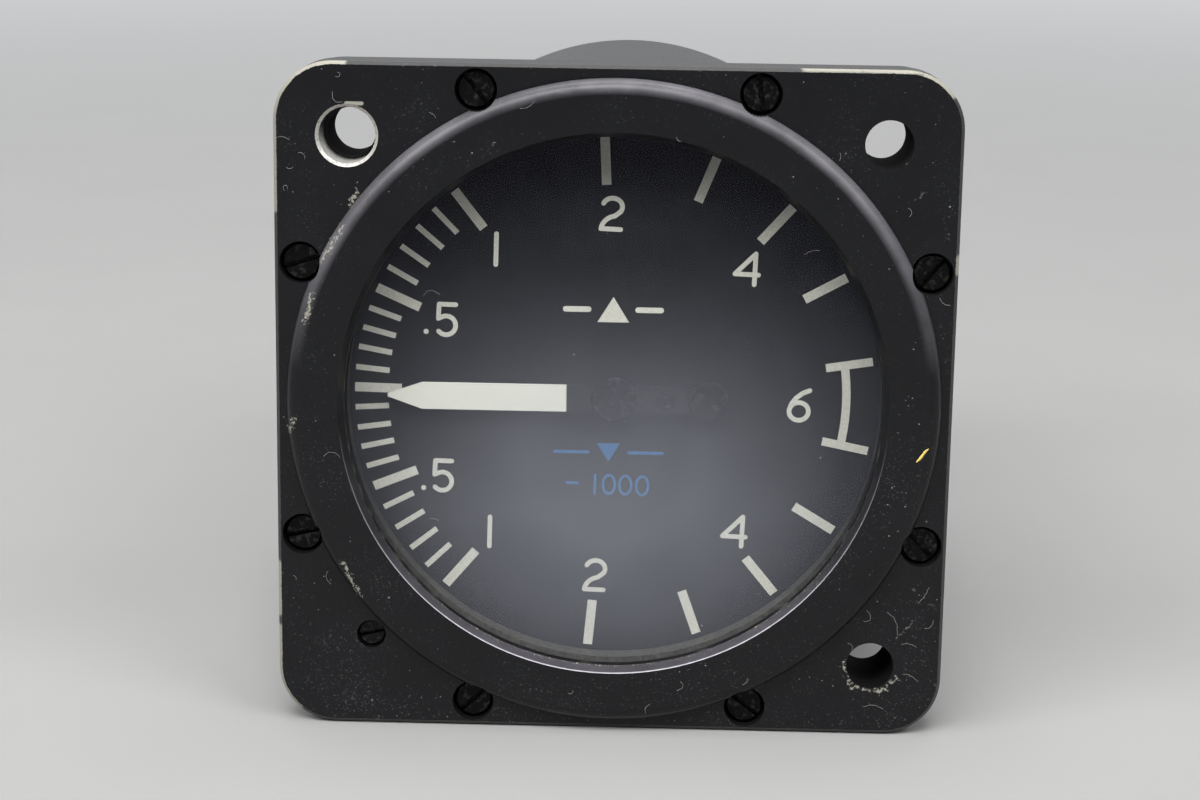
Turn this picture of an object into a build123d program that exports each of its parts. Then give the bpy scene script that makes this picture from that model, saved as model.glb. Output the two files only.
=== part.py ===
from build123d import *
import os
from math import acos, asin, atan2, ceil, cos, degrees, hypot, pi, radians, sin, sqrt, tan

# Vertical speed indicator for an instrument panel. Millimetres, +Z up, dial facing -Y.
# The origin is on the instrument's axis, in the plane where the flange meets the panel.
# Y runs from the front of the bezel (negative) to the static port at the rear (positive).

# Clearances shared by everything that fits
seat = 0.02
run = 0.03
rim_gap = 0.1

# Window, glass and dial
window_radius = 24.05
window_bevel = 0.45
window_bevel_depth = 1.1
lip_depth = 2.0
gasket_thick = 0.4
gasket_setback = 0.25
glass_thick = 1.8
glass_edge = 0.2
spacer_depth = 1.9
dial_thick = 0.6
dial_ledge = 0.6
dial_land = 0.95
dial_hole_radius = 1.5
print_thick = 0.05

# Bezel flange, its raised ring and the case flange behind it
bezel_plate = 3.8
case_flange = 5.1
ring_height = 1.5
ring_round = 1.1
ring_land = 2.1
corner_radius = 5.2
edge_break = 0.3
edge_wall = 0.42

# Screws that hold the bezel to the case, two by each side
screw_radius = 1.09
screw_thread = 3.6
screw_head_radius = 1.7
screw_head_height = 1.45
counterbore_radius = 1.87
counterbore_depth = 2.2
screw_slot_width = 0.45
screw_slot_depth = 0.6
screw_bite = 0.47
screw_lean = 24.0
screw_slot_turns = (-52, 98, 50, -47, -38, 45, 12, 18)

# Holes for mounting the instrument on its panel, and the zero adjuster in the fourth corner
mount_radius = 2.15
mount_land = 2.25
worn_bore = 2.5
worn_chamfer = 0.28
zero_radius = 1.25
zero_land = 0.28
zero_collar = 0.65
zero_collar_thick = 0.8
zero_recess = 0.6
eccentric = 0.7
eccentric_pin = 0.45
zero_travel = 40.0

# Seals
seal_section = 0.46
seal_groove_play = 0.19
seal_inset = 0.35
zero_seal_section = 0.25

# Case tube and static port
case_wall = 2.0
case_collar = 0.4
rear_step = 0.3
rear_wall = 3.0
rear_round = 1.6
port_boss_radius = 8.0
port_boss_length = 7.0
port_radius = 4.37
port_depth = 8.5
port_passage = 1.6
lug_depth = 3.8
lug_half_width = 2.8
lug_length = 8.8
lug_angles = (30, 150, 270)

# Movement frame: three plates on pillars
lever_gap = 1.1
lever_thick = 1.0
lever_rise = 0.4
plate_thick = 1.4
plate_inset = 0.3
light_hole_radius = 4.5
light_hole_inset = 9.5
light_hole_angles = (60, 143, 282)
train_space = 9.8
pillar_radius = 1.8
pillar_stud = 0.9
pillar_inset = 3.9
pillar_angles = (90, 195, 310)
frame_screw_radius = 0.78
frame_head_radius = 1.45
frame_head_height = 0.9
frame_screw_length = 5.0

# Gear train: a toothed sector turns the pinion on the staff that carries the pointer
tooth_width = 0.4712
pinion_teeth = 12
sector_full_teeth = 96
pinion_addendum = 1.2
sector_addendum = 0.7
root_clearance = 0.25
backlash = 0.04
pressure_angle = radians(20)
sector_thick = 0.7
pinion_width = 2.0
sector_rim = 1.3
arm_inset = 4.0
sector_reach = 7.0
sector_hub_radius = 1.7
sector_hub_length = 2.0
sector_arm_width = 2.6
sector_arm_end_width = 1.4
pointer_travel = 172.0
pivot_drop = 3.0
weight_arm = 4.0
weight_radius = 2.0
weight_thick = 5.0
weight_pin_radius = 0.7
weight_rivet_radius = 1.1
weight_rivet_height = 0.5
stop_radius = 0.6
stop_distance = 9.5
stop_play = 0.8

# Shafts and bearings
staff_radius = 0.6
staff_front_radius = 0.5
pivot_radius = 0.33
shaft_radius = 0.8
zero_shaft_radius = 0.9
jewel_wall = 0.8
jewel_lip = 0.3
end_shake = 0.15

# Hairspring
spring_turns = 5
spring_inner = 1.25
spring_outer = 6.0
spring_strip = 0.12
spring_width = 0.5
spring_lift = 2.4
stud_radius = 0.5
stud_angle = 120.0

# Pressure capsule, its carrier and the yoke that it drives
capsule_radius = 15.0
capsule_rim = 1.3
capsule_thick = 5.0
capsule_wall = 0.3
capsule_waves = 3
capsule_wave = 0.55
capsule_clear = 2.1
boss_radius = 3.2
boss_height = 0.6
crank_length = 3.0
crank_pin = 0.4
crank_hub_radius = 1.8
crank_hub_length = 2.4
crank_arm_width = 1.6
crank_end_radius = 1.1
crank_thick = 1.1
crank_gap = 0.5
post_radius = 0.9
yoke_thick = 0.8
yoke_wall = 0.6
yoke_play = 0.06
stem_radius = 1.3
stem_reach = 4.5
carrier_thick = 1.2
carrier_length = 6.0
carrier_hub_wall = 1.2
nut_across = 3.6
nut_thick = 1.2
nipple_radius = 0.85
nipple_length = 0.9
zero_shaft_left = 10.5
zero_shaft_drop = 4.5

# Static line, manifold and restrictor at the rear
rear_space = 4.6
restrictor_length = 12.0
restrictor_radius = 2.6
filter_thick = 0.9
leak_radius = 0.35
manifold_thick = 3.0
manifold_radius = 7.4
manifold_screw_circle = 5.9
line_radius = 0.45
line_bore = 0.3
line_bend = 2.5
line_left = 15.0

# Pointer
pointer_gap = 0.85
pointer_thick = 0.4
pointer_half_width = 1.21
pointer_reach = 20.45
pointer_head = 3.1
pointer_tip = 0.12
pointer_tail = 8.45
hub_radius = 2.05
hub_thick = 0.3
sleeve_radius = 1.0
sleeve_length = 0.95
tail_disc_radius = 1.8
tail_disc_thick = 0.25
tail_slug_radius = 1.2
tail_slug_thick = 0.3
rivet_radius = 0.8
rivet_thick = 0.18
rivet_out = 4.67

# Marks on the dial: half-scale angles from the nine o'clock zero, in degrees
dial_turn = 1.1
fine_marks = (4.55, 9.2, 13.65, 18.2, 28.3, 33.7, 39.4, 44.7)
broad_marks = (23.0, 50.75)
long_marks = (86.0, 110.8, 130.6, 150.2)
full_scale = 169.9
mark_rim_gap = 0.5
fine_length = 3.05
long_length = 4.25
fine_width = 0.5
long_width = 0.84
bracket_depth = 2.55
bracket_width = 0.75

# Places along the axis, from the panel plane forwards to the front of the ring
split = -case_flange
flange_front = split - bezel_plate
ring_front = flange_front - ring_height
lip_rear = ring_front + lip_depth
glass_front = lip_rear + gasket_thick
glass_rear = glass_front + glass_thick
dial_front = glass_rear + spacer_depth
dial_rear = dial_front + dial_thick
lever_front = dial_rear + lever_gap
lever_rear = lever_front + lever_thick
pointer_rear = dial_front - pointer_gap
pointer_front = pointer_rear - pointer_thick
hub_front = pointer_front - hub_thick

# Places along the axis, from the front plate back to the end of the static port
plate_front = lever_rear + lever_rise
plate_rear = plate_front + plate_thick
middle_front = plate_rear + train_space
middle_rear = middle_front + plate_thick
capsule_y = middle_rear + capsule_clear + capsule_radius
back_front = capsule_y + capsule_radius + capsule_clear
back_rear = back_front + plate_thick
filter_front = back_rear + rear_space
restrictor_front = filter_front + filter_thick
manifold_front = restrictor_front + restrictor_length
case_inside = manifold_front + manifold_thick
case_end = case_inside + rear_wall
port_end = case_end + port_boss_length
sector_y = plate_rear + 2.8
pinion_front = sector_y - (pinion_width - sector_thick) / 2
spring_y = sector_y + sector_thick + spring_lift

# Radii from the axis outwards
case_bore = window_radius + dial_land
dial_radius = case_bore + dial_ledge
recess_radius = dial_radius + dial_ledge
glass_radius = recess_radius - rim_gap
case_radius = case_bore + case_wall
groove_inner = case_radius + case_collar + seal_inset
groove_width = 2 * seal_section + 2 * seal_groove_play
seal_circle = groove_inner + groove_width / 2
ring_radius = case_radius + ring_land
screw_circle = ring_radius - screw_bite + counterbore_radius
screw_near = screw_circle * sin(radians(screw_lean))
screw_far = screw_circle * cos(radians(screw_lean))
flange_width = 2 * (screw_far + counterbore_radius + edge_wall)
mount_offset = (ring_radius + mount_land + mount_radius) / sqrt(2)
zero_hole = zero_radius + 2 * run
zero_offset = (ring_radius + zero_land + zero_hole) / sqrt(2)
collar_radius = zero_radius + zero_collar
plate_radius = case_bore - plate_inset
pillar_circle = plate_radius - pillar_inset
lug_radius = case_bore - lug_depth
lug_screw_circle = case_bore - lug_depth / 2 - 0.1

# Gear sizes, from the tooth's width at the pitch circle
module_size = 2 * tooth_width / pi
pinion_pitch = module_size * pinion_teeth / 2
sector_pitch = module_size * sector_full_teeth / 2
centre_distance = pinion_pitch + sector_pitch
gear_ratio = sector_full_teeth / pinion_teeth
sector_travel = pointer_travel / gear_ratio
pivot_x = sqrt(centre_distance**2 - pivot_drop**2)
pivot_z = -pivot_drop
sector_aim = degrees(atan2(-pivot_z, -pivot_x))
tooth_step = 360 / sector_full_teeth
sector_teeth = 2 * ceil((sector_travel + sector_reach) / tooth_step)
crank_swing = crank_length * radians(sector_travel)

screw_places = [
    (-screw_near, screw_far),
    (screw_near, screw_far),
    (screw_far, screw_near),
    (screw_far, -screw_near),
    (screw_near, -screw_far),
    (-screw_near, -screw_far),
    (-screw_far, -screw_near),
    (-screw_far, screw_near),
]
mount_places = [(-mount_offset, mount_offset), (mount_offset, mount_offset), (mount_offset, -mount_offset)]
zero_place = (-zero_offset, -zero_offset)
zero_shaft_place = (-zero_shaft_left, -zero_shaft_drop)
rocker_place = (pivot_x, pivot_z)


def polar(radius, angle):
    """Place at a radius and an angle in degrees, from +X towards +Z."""
    return (radius * cos(radians(angle)), radius * sin(radians(angle)))


pillar_places = [polar(pillar_circle, a) for a in pillar_angles]
lug_places = [polar(lug_screw_circle, a) for a in lug_angles]


def turned(*points):
    """Solid turned about the instrument's axis, from (radius, y) points."""
    return revolve(Polygon(*points, align=None), Axis.Y)


def plate(outline, front, rear):
    """A flat outline in X and Z, made solid from y = front to y = rear."""
    return Pos(0, rear, 0) * extrude(Plane.XZ * outline, amount=rear - front)


def rod(radius, front, rear, place=(0, 0)):
    """Round bar along the axis direction."""
    return plate(Pos(*place) * Circle(radius), front, rear)


def tube(outer, inner, front, rear, place=(0, 0)):
    """Round tube along the axis direction."""
    return plate(Pos(*place) * (Circle(outer) - Circle(inner)), front, rear)


def moved(solid, place):
    """A solid made on the axis, moved to its own place."""
    return Pos(place[0], 0, place[1]) * solid


def group(solids):
    """Separate solids kept together as one node."""
    return Compound(children=list(solids))


def slotted_screw(head_radius, head_height, shank_radius, seat_y, length, turn, slot, depth):
    """Cheese-head screw on the axis: its head stands in front of seat_y, its shank goes behind."""
    head = rod(head_radius, seat_y - head_height, seat_y)
    head = chamfer(head.edges().filter_by(GeomType.CIRCLE).sort_by(Axis.Y)[0], head_height / 8)
    cut = plate(Rot(0, 0, turn) * Rectangle(2.2 * head_radius, slot), seat_y - head_height - 1,
                seat_y - head_height + depth)
    shank = rod(shank_radius, seat_y, seat_y + length)
    shank = chamfer(shank.edges().filter_by(GeomType.CIRCLE).sort_by(Axis.Y)[-1], shank_radius / 3)
    return head + shank - cut


# Bezel: square flange, raised ring, window and all the holes in its face
def make_bezel():
    body = plate(RectangleRounded(flange_width, flange_width, corner_radius), flange_front, split)
    front_edges = body.edges().filter_by_position(Axis.Y, flange_front, flange_front)
    body = chamfer(front_edges, edge_break)
    ring = rod(ring_radius, ring_front, flange_front)
    ring = fillet(ring.edges().sort_by(Axis.Y)[0], ring_round)
    body += ring
    bevel_radius = window_radius + window_bevel
    body -= turned(
        (0, ring_front - 1),
        (bevel_radius, ring_front - 1),
        (bevel_radius, ring_front),
        (window_radius, ring_front + window_bevel_depth),
        (window_radius, lip_rear),
        (recess_radius, lip_rear),
        (recess_radius, split + 1),
        (0, split + 1),
    )
    for place in screw_places:
        body -= rod(counterbore_radius, ring_front - 1, flange_front + counterbore_depth, place)
        body -= rod(screw_radius + rim_gap, flange_front, split + 1, place)
    for place, bore in zip(mount_places, (worn_bore, mount_radius, mount_radius)):
        body -= rod(bore, flange_front - 1, split + 1, place)
    worn_radius = worn_bore + worn_chamfer
    body -= moved(
        turned((0, flange_front - 1), (worn_radius, flange_front - 1), (worn_radius, flange_front),
               (worn_bore, flange_front + worn_chamfer), (0, flange_front + worn_chamfer)),
        mount_places[0],
    )
    body -= rod(zero_hole, flange_front - 1, split + 1, zero_place)
    body -= rod(collar_radius + rim_gap, split - zero_collar_thick - rim_gap, split + 1, zero_place)
    return body


# Tube of the case, with inner lugs that carry the movement. A flange and a rear wall are brazed to it.
def make_case():
    body = rod(case_radius, split, case_end)
    body = fillet(body.edges().filter_by(GeomType.CIRCLE).sort_by(Axis.Y)[-1], rear_round)
    body += rod(case_radius + case_collar, split, 0)
    body -= turned(
        (0, split - 1),
        (recess_radius, split - 1),
        (recess_radius, dial_rear),
        (case_bore, dial_rear),
        (case_bore, case_end + 1),
        (0, case_end + 1),
    )
    lug_end = plate_rear + lug_length
    for angle, place in zip(lug_angles, lug_places):
        block = plate(
            Rot(0, 0, angle) * Pos(lug_radius + lug_depth, 0) * Rectangle(2 * lug_depth, 2 * lug_half_width),
            plate_rear, lug_end)
        body += block & rod(case_bore + 0.5, plate_rear, lug_end)
        body -= rod(frame_screw_radius + seat, plate_rear - 1, plate_rear + frame_screw_length, place)
    body -= plate(lever_slot(), lever_front - 0.35, lever_rear + 0.3)
    return body


# Square flange, brazed round the collar at the front end of the case's tube.
def make_case_flange():
    side = flange_width - 2 * rear_step
    body = plate(RectangleRounded(side, side, corner_radius - rear_step), split, 0)
    body -= rod(case_radius + case_collar + seat, split - 1, 1)
    groove_depth = 2 * seal_section + 0.03
    body -= tube(groove_inner + groove_width, groove_inner, split - 1, split + groove_depth)
    thread_end = split + screw_thread + 0.5
    for place in screw_places:
        body -= rod(screw_radius + seat, split - 1, thread_end, place)
    for place in mount_places:
        body -= rod(mount_radius, split - 1, 1, place)
    body -= rod(zero_radius + run, split - 1, lever_front - 0.2, zero_place)
    body -= plate(lever_slot(), lever_front - 0.35, lever_rear + 0.3)
    return body


# Rear wall with the static port's boss, brazed into the tube's rear end.
def make_case_back():
    body = rod(case_bore - seat, case_inside, case_end)
    port = rod(port_boss_radius, case_end - 0.5, port_end)
    body += chamfer(port.edges().filter_by(GeomType.CIRCLE).sort_by(Axis.Y)[-1], 0.6)
    body -= rod(port_passage, case_inside - 1, port_end, (0, 0))
    body -= rod(port_radius, port_end - port_depth, port_end + 1)
    for angle in (90, 210, 330):
        body -= rod(frame_screw_radius + seat, case_inside - 1, case_inside + rear_wall - 1.0,
                    polar(manifold_screw_circle, angle))
    return body


def lever_line():
    """Length and direction in degrees from the zero shaft to the adjusting screw."""
    dx = zero_place[0] - zero_shaft_place[0]
    dz = zero_place[1] - zero_shaft_place[1]
    return hypot(dx, dz), degrees(atan2(dz, dx))


def lever_slot():
    """Slot under the case's front face that lets the zero lever reach its screw."""
    length, turn = lever_line()
    width = 2 * (collar_radius + eccentric)
    start = length / 4
    slot = Pos((start + length) / 2, 0) * SlotCenterToCenter(length - start, width)
    return Pos(*zero_shaft_place) * Rot(0, 0, turn) * slot


# Glass, gasket, spacer ring, dial and the seal between the flanges
def make_glass():
    disc = rod(glass_radius, glass_front, glass_rear)
    return chamfer(disc.edges().filter_by(GeomType.CIRCLE), glass_edge)


def make_window_gasket():
    return tube(glass_radius, window_radius + gasket_setback, lip_rear, glass_front)


def make_spacer_ring():
    return tube(glass_radius, window_radius, glass_rear, dial_front)


def make_dial():
    return tube(dial_radius, dial_hole_radius, dial_front, dial_rear)


def make_case_seal():
    torus = Torus(seal_circle, seal_section)
    return Pos(0, split + seal_section + 0.015, 0) * Rot(90, 0, 0) * torus


def mark(angle, outer, length, width):
    """One bar of the scale, square to the rim, at an angle from the nine o'clock zero."""
    bar = Pos(outer - length / 2, 0) * Rectangle(length, width)
    return Rot(0, 0, 180 - angle - dial_turn) * bar


def make_dial_marks():
    outer = window_radius - mark_rim_gap
    bars = [mark(0, outer, long_length, long_width)]
    for side in (1, -1):
        bars += [mark(side * a, outer, fine_length, fine_width) for a in fine_marks]
        bars += [mark(side * a, outer, long_length, long_width) for a in broad_marks + long_marks]
    ends = [mark(side * full_scale, outer, long_length, bracket_width) for side in (1, -1)]
    bracket_radius = outer - bracket_depth
    half = bracket_width / 2
    band = Circle(bracket_radius + half) - Circle(bracket_radius - half)
    spread = 2 * (180 - full_scale)
    reach = 2 * bracket_radius * sin(radians(spread / 2))
    slab = Rot(0, 0, -dial_turn) * Pos(outer / 2, 0) * Rectangle(outer, reach)
    bracket = (band & slab) + ends[0] + ends[1]
    return group(plate(s, dial_front - print_thick, dial_front) for s in bars + [bracket])


# Bezel screws, zero-adjusting screw and its seal
def make_bezel_screws():
    seat_y = flange_front + counterbore_depth
    length = split - seat_y + screw_thread
    screws = []
    for place, turn in zip(screw_places, screw_slot_turns):
        screw = slotted_screw(screw_head_radius, screw_head_height, screw_radius, seat_y, length, turn,
                              screw_slot_width, screw_slot_depth)
        screws.append(moved(screw, place))
    return group(screws)


def zero_seal_y():
    """Middle of the sealing groove on the adjusting screw."""
    return split - zero_collar_thick - 1.2


def make_zero_screw():
    front = flange_front + zero_recess
    half = zero_seal_section
    groove = zero_radius - 2 * zero_seal_section + run
    collar_front = split - zero_collar_thick
    stem_end = lever_front - 0.25
    body = turned(
        (0, front),
        (zero_radius - 0.15, front),
        (zero_radius, front + 0.15),
        (zero_radius, zero_seal_y() - half - 0.05),
        (groove, zero_seal_y() - half - 0.05),
        (groove, zero_seal_y() + half + 0.05),
        (zero_radius, zero_seal_y() + half + 0.05),
        (zero_radius, collar_front),
        (collar_radius, collar_front),
        (collar_radius, split - run),
        (zero_radius, split - run),
        (zero_radius, stem_end),
        (0, stem_end),
    )
    body -= plate(Rot(0, 0, 14) * Rectangle(3 * zero_radius, 0.4), front - 1, front + 0.55)
    _, turn = lever_line()
    pin_place = polar(-eccentric, turn)
    body += rod(eccentric_pin, stem_end - 0.2, lever_rear + 0.1, pin_place)
    return moved(body, zero_place)


def make_zero_screw_seal():
    torus = Torus(zero_radius + run - zero_seal_section, zero_seal_section)
    return moved(Pos(0, zero_seal_y(), 0) * Rot(90, 0, 0) * torus, zero_place)


# Zero lever and its shaft, which tilt the capsule's carrier by a small angle
def make_zero_lever():
    length, turn = lever_line()
    fork_half = eccentric_pin + yoke_play
    tine = 0.8
    arm_end = length - eccentric - eccentric_pin - 0.6
    tip = length + eccentric_pin + 0.35
    slot_start = length - eccentric - eccentric_pin - 0.25
    arm = Pos(arm_end / 2, 0) * Rectangle(arm_end, 2.2)
    fork = Pos((arm_end + tip) / 2, 0) * Rectangle(tip - arm_end, 2 * (fork_half + tine))
    slot = Pos((slot_start + tip + 1) / 2, 0) * Rectangle(tip + 1 - slot_start, 2 * fork_half)
    outline = Circle(2.0) + arm + fork - slot - Circle(zero_shaft_radius + seat)
    return plate(Pos(*zero_shaft_place) * Rot(0, 0, turn) * outline, lever_front, lever_rear)


def make_zero_shaft():
    return rod(zero_shaft_radius, lever_front, back_rear - end_shake, zero_shaft_place)


def make_capsule_carrier():
    """Hub on the zero shaft, with an upright web that holds the capsule by its stem."""
    front = capsule_y - carrier_length / 2
    rear = capsule_y + carrier_length / 2
    hub_radius = zero_shaft_radius + carrier_hub_wall
    left = -capsule_thick / 2 - stem_reach - carrier_thick
    top = nut_across / 2 + 1.4
    web = plate(Pos(left + carrier_thick / 2, (top - zero_shaft_drop) / 2)
                * Rectangle(carrier_thick, top + zero_shaft_drop), front, rear)
    web = fillet(web.edges().filter_by(Axis.X).group_by(Axis.Z)[-1], 1.4)
    foot_width = left + carrier_thick + zero_shaft_left
    foot = plate(Pos(-zero_shaft_left + foot_width / 2, -zero_shaft_drop)
                 * Rectangle(foot_width, 2 * hub_radius - 1.2), front, rear)
    body = web + foot + rod(hub_radius, front, rear, zero_shaft_place)
    body -= rod(zero_shaft_radius + seat, front - 1, rear + 1, zero_shaft_place)
    return body - bar_x(nipple_radius + seat, left - 1, left + carrier_thick + 1)


def bar_x(radius, left, right):
    """Round bar along X through the capsule's centre."""
    return Pos((left + right) / 2, capsule_y, 0) * Rot(0, 90, 0) * Cylinder(radius, right - left)


def make_capsule_stem():
    face_x = -capsule_thick / 2 - stem_reach
    stem = bar_x(stem_radius, face_x, -capsule_thick / 2 - boss_height)
    end_x = face_x - carrier_thick - nut_thick - nipple_length
    stem += bar_x(nipple_radius, end_x, face_x)
    return stem - bar_x(line_bore, end_x - 1, 0)


def make_stem_nut():
    face_x = -capsule_thick / 2 - stem_reach - carrier_thick
    hexagon = RegularPolygon(nut_across / 2, 6, major_radius=False)
    nut = Plane.YZ * (hexagon - Circle(nipple_radius + seat))
    return Pos(face_x - nut_thick, capsule_y, 0) * extrude(nut, amount=nut_thick)


# Capsule: two thin rippled discs joined at the rim, with a boss in the middle of each
def disc_profile(inset):
    """Half outline of a rippled disc as (radius, height) edges, drawn in by inset from its outer face."""
    inner = boss_radius + 0.8
    outer = capsule_radius - capsule_rim
    middle = capsule_thick / 2 - capsule_wave / 2 - inset
    step = (outer - inner) / (2 * capsule_waves)
    rim_height = 0.0 if inset else capsule_wall
    edges = [Line((0, middle), (inner, middle))]
    for i in range(2 * capsule_waves):
        start = inner + i * step
        swing = capsule_wave / 2 * (-1) ** (i + 1)
        edges.append(ThreePointArc((start, middle), (start + step / 2, middle + swing), (start + step, middle)))
    foot = (outer + 0.3 - inset, rim_height)
    edges.append(Line((outer, middle), foot))
    if inset:
        return edges + [Line(foot, (0, 0)), Line((0, 0), (0, middle))]
    rim = (capsule_radius, rim_height)
    corner = (capsule_radius, 0)
    return edges + [Line(foot, rim), Line(rim, corner), Line(corner, (0, 0)), Line((0, 0), (0, middle))]


def make_capsule():
    """Hollow capsule about its own axis, laid along X at its place behind the gear train."""
    shell = revolve(make_face(disc_profile(0)), Axis.Y)
    hollow = revolve(make_face(disc_profile(capsule_wall)), Axis.Y)
    body = shell + mirror(shell, Plane.XZ)
    body -= hollow + mirror(hollow, Plane.XZ)
    body = Pos(0, capsule_y, 0) * Rot(0, 0, 90) * body
    face = capsule_thick / 2 - capsule_wave / 2 - capsule_wall
    half = capsule_thick / 2 + boss_height
    body += bar_x(boss_radius, -half, -face) + bar_x(boss_radius, face, half)
    return body - bar_x(line_bore, -half - 1, 0)


# Post that the capsule pushes, with the slotted yoke at its end
def make_capsule_post():
    start = capsule_thick / 2 + boss_height
    half_slot = crank_pin + yoke_play
    yoke_half = half_slot + yoke_wall
    post = bar_x(post_radius, start, pivot_x - yoke_half + 0.1)
    dip = crank_length * (1 - cos(radians(sector_travel)))
    slot_top = crank_pin + 0.2
    slot_bottom = -dip - crank_pin - 0.2
    height = slot_top - slot_bottom + 2 * yoke_wall
    middle = (slot_top + slot_bottom) / 2
    outline = Pos(pivot_x, middle) * (
        RectangleRounded(2 * yoke_half, height, 0.4) - Rectangle(2 * half_slot, slot_top - slot_bottom))
    yoke = plate(outline, capsule_y - yoke_thick / 2, capsule_y + yoke_thick / 2)
    return post + yoke


# Gears: involute teeth, with a long addendum on the small pinion
def tooth_edges(teeth, tip, root, centre):
    """Edges of one tooth about its centre angle in radians, from root to root."""
    pitch = module_size * teeth / 2
    base = pitch * cos(pressure_angle)
    half = pi / (2 * teeth) - backlash / (4 * pitch) + tan(pressure_angle) - pressure_angle

    def flank(radius):
        """Half the tooth's angle at a radius."""
        if radius <= base:
            return half
        alpha = acos(base / radius)
        return half - tan(alpha) + alpha

    def at(radius, angle):
        return (radius * cos(angle), radius * sin(angle))

    start = max(base, root)
    radii = [start + (tip - start) * i / 4 for i in range(5)]
    rise = [at(r, centre - flank(r)) for r in radii]
    fall = [at(r, centre + flank(r)) for r in reversed(radii)]
    edges = []
    if root < base:
        edges.append(Line(at(root, centre - half), rise[0]))
    edges += [Spline(*rise), ThreePointArc(rise[-1], at(tip, centre), fall[0]), Spline(*fall)]
    if root < base:
        edges.append(Line(fall[-1], at(root, centre + half)))
    return edges


def joined(edges, closing):
    """Tooth edges with short lines between neighbours, closed by the given points."""
    chain = []
    for tooth in edges:
        if chain:
            chain.append(Line(chain[-1] @ 1, tooth[0] @ 0))
        chain += tooth
    for point in closing:
        chain.append(Line(chain[-1] @ 1, point))
    chain.append(Line(chain[-1] @ 1, chain[0] @ 0))
    return make_face(chain)


def pinion_outline():
    tip = pinion_pitch + pinion_addendum * module_size
    root = pinion_pitch - (sector_addendum + root_clearance) * module_size
    step = 2 * pi / pinion_teeth
    teeth = [tooth_edges(pinion_teeth, tip, root, i * step) for i in range(pinion_teeth)]
    return joined(teeth, [])


def sector_outline():
    """Toothed sector about its own pivot, pointing along +X, with a gap on its centre line."""
    tip = sector_pitch + sector_addendum * module_size
    root = sector_pitch - (pinion_addendum + root_clearance) * module_size
    step = 2 * pi / sector_full_teeth
    teeth = [tooth_edges(sector_full_teeth, tip, root, (i - (sector_teeth - 1) / 2) * step)
             for i in range(sector_teeth)]
    half = sector_teeth / 2 * step
    inner = root - sector_rim
    rim = joined(teeth, [(root * cos(half), root * sin(half)), (0, 0), (root * cos(half), -root * sin(half))])
    rim -= Circle(inner)
    reach = inner + sector_rim / 2
    wide = sector_arm_width / 2
    narrow = sector_arm_end_width / 2
    arm = Polygon((0, -wide), (reach, -narrow), (reach, narrow), (0, wide), align=None)
    spread = degrees(half) - arm_inset
    tail = Pos(-weight_arm / 2, 0) * Rectangle(weight_arm, sector_arm_width)
    tail += Pos(-weight_arm, 0) * Circle(weight_radius - 0.2)
    face = rim + Rot(0, 0, spread) * arm + Rot(0, 0, -spread) * arm + tail + Circle(sector_hub_radius)
    return face - Circle(shaft_radius + seat) - Pos(-weight_arm, 0) * Circle(weight_pin_radius + seat)


def on_rocker(outline):
    """Outline made about the rocking shaft, turned to face the handstaff."""
    return Pos(*rocker_place) * Rot(0, 0, sector_aim) * outline


def make_sector_gear():
    gear = plate(on_rocker(sector_outline()), sector_y, sector_y + sector_thick)
    hub = tube(sector_hub_radius, shaft_radius + seat, sector_y + sector_thick,
               sector_y + sector_thick + sector_hub_length, rocker_place)
    return gear + hub


def make_sector_weight():
    place = Pos(-weight_arm, 0)
    rear = sector_y + sector_thick
    rivet = plate(on_rocker(place * Circle(weight_pin_radius)), sector_y, rear)
    slug = plate(on_rocker(place * Circle(weight_radius)), rear, rear + weight_thick)
    head = plate(on_rocker(place * Circle(weight_rivet_radius)), sector_y - weight_rivet_height, sector_y)
    return rivet + slug + head


def make_rocking_shaft():
    front = plate_front + end_shake
    rear = back_rear - end_shake
    shoulder_front = plate_rear + jewel_lip + end_shake
    shoulder_rear = back_front - jewel_lip - end_shake
    shaft = turned(
        (0, front), (pivot_radius, front), (pivot_radius, shoulder_front), (shaft_radius, shoulder_front),
        (shaft_radius, shoulder_rear), (pivot_radius, shoulder_rear), (pivot_radius, rear), (0, rear))
    return moved(shaft, rocker_place)


def make_crank():
    front = capsule_y + yoke_thick / 2 + crank_gap
    pin_place = (pivot_x, pivot_z + crank_length)
    arm = Pos(pivot_x, pivot_z + crank_length / 2) * Rectangle(crank_arm_width, crank_length)
    outline = Pos(*rocker_place) * Circle(crank_hub_radius) + Pos(*pin_place) * Circle(crank_end_radius) + arm
    body = plate(outline, front, front + crank_thick)
    body += rod(crank_hub_radius, front, front + crank_hub_length, rocker_place)
    body += rod(crank_pin, capsule_y - yoke_thick / 2 - 0.3, front, pin_place)
    return body - rod(shaft_radius + seat, front - 1, front + crank_hub_length + 1, rocker_place)


# Handstaff with its pinion, hairspring and pointer
def make_handstaff():
    tip = hub_front - 0.1
    neck = plate_front - 0.5
    shoulder = middle_front - jewel_lip - end_shake
    staff = turned(
        (0, tip), (staff_front_radius, tip), (staff_front_radius, neck), (staff_radius, neck),
        (staff_radius, shoulder), (pivot_radius, shoulder), (pivot_radius, middle_rear - end_shake),
        (0, middle_rear - end_shake))
    toward = degrees(atan2(pivot_z, pivot_x))
    teeth = plate(Rot(0, 0, toward) * pinion_outline(), pinion_front, pinion_front + pinion_width)
    return staff + teeth


def make_hairspring_collet():
    return tube(spring_inner - spring_strip / 2 - seat, staff_radius + seat, spring_y - 0.3,
                spring_y + spring_width + 0.3)


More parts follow.
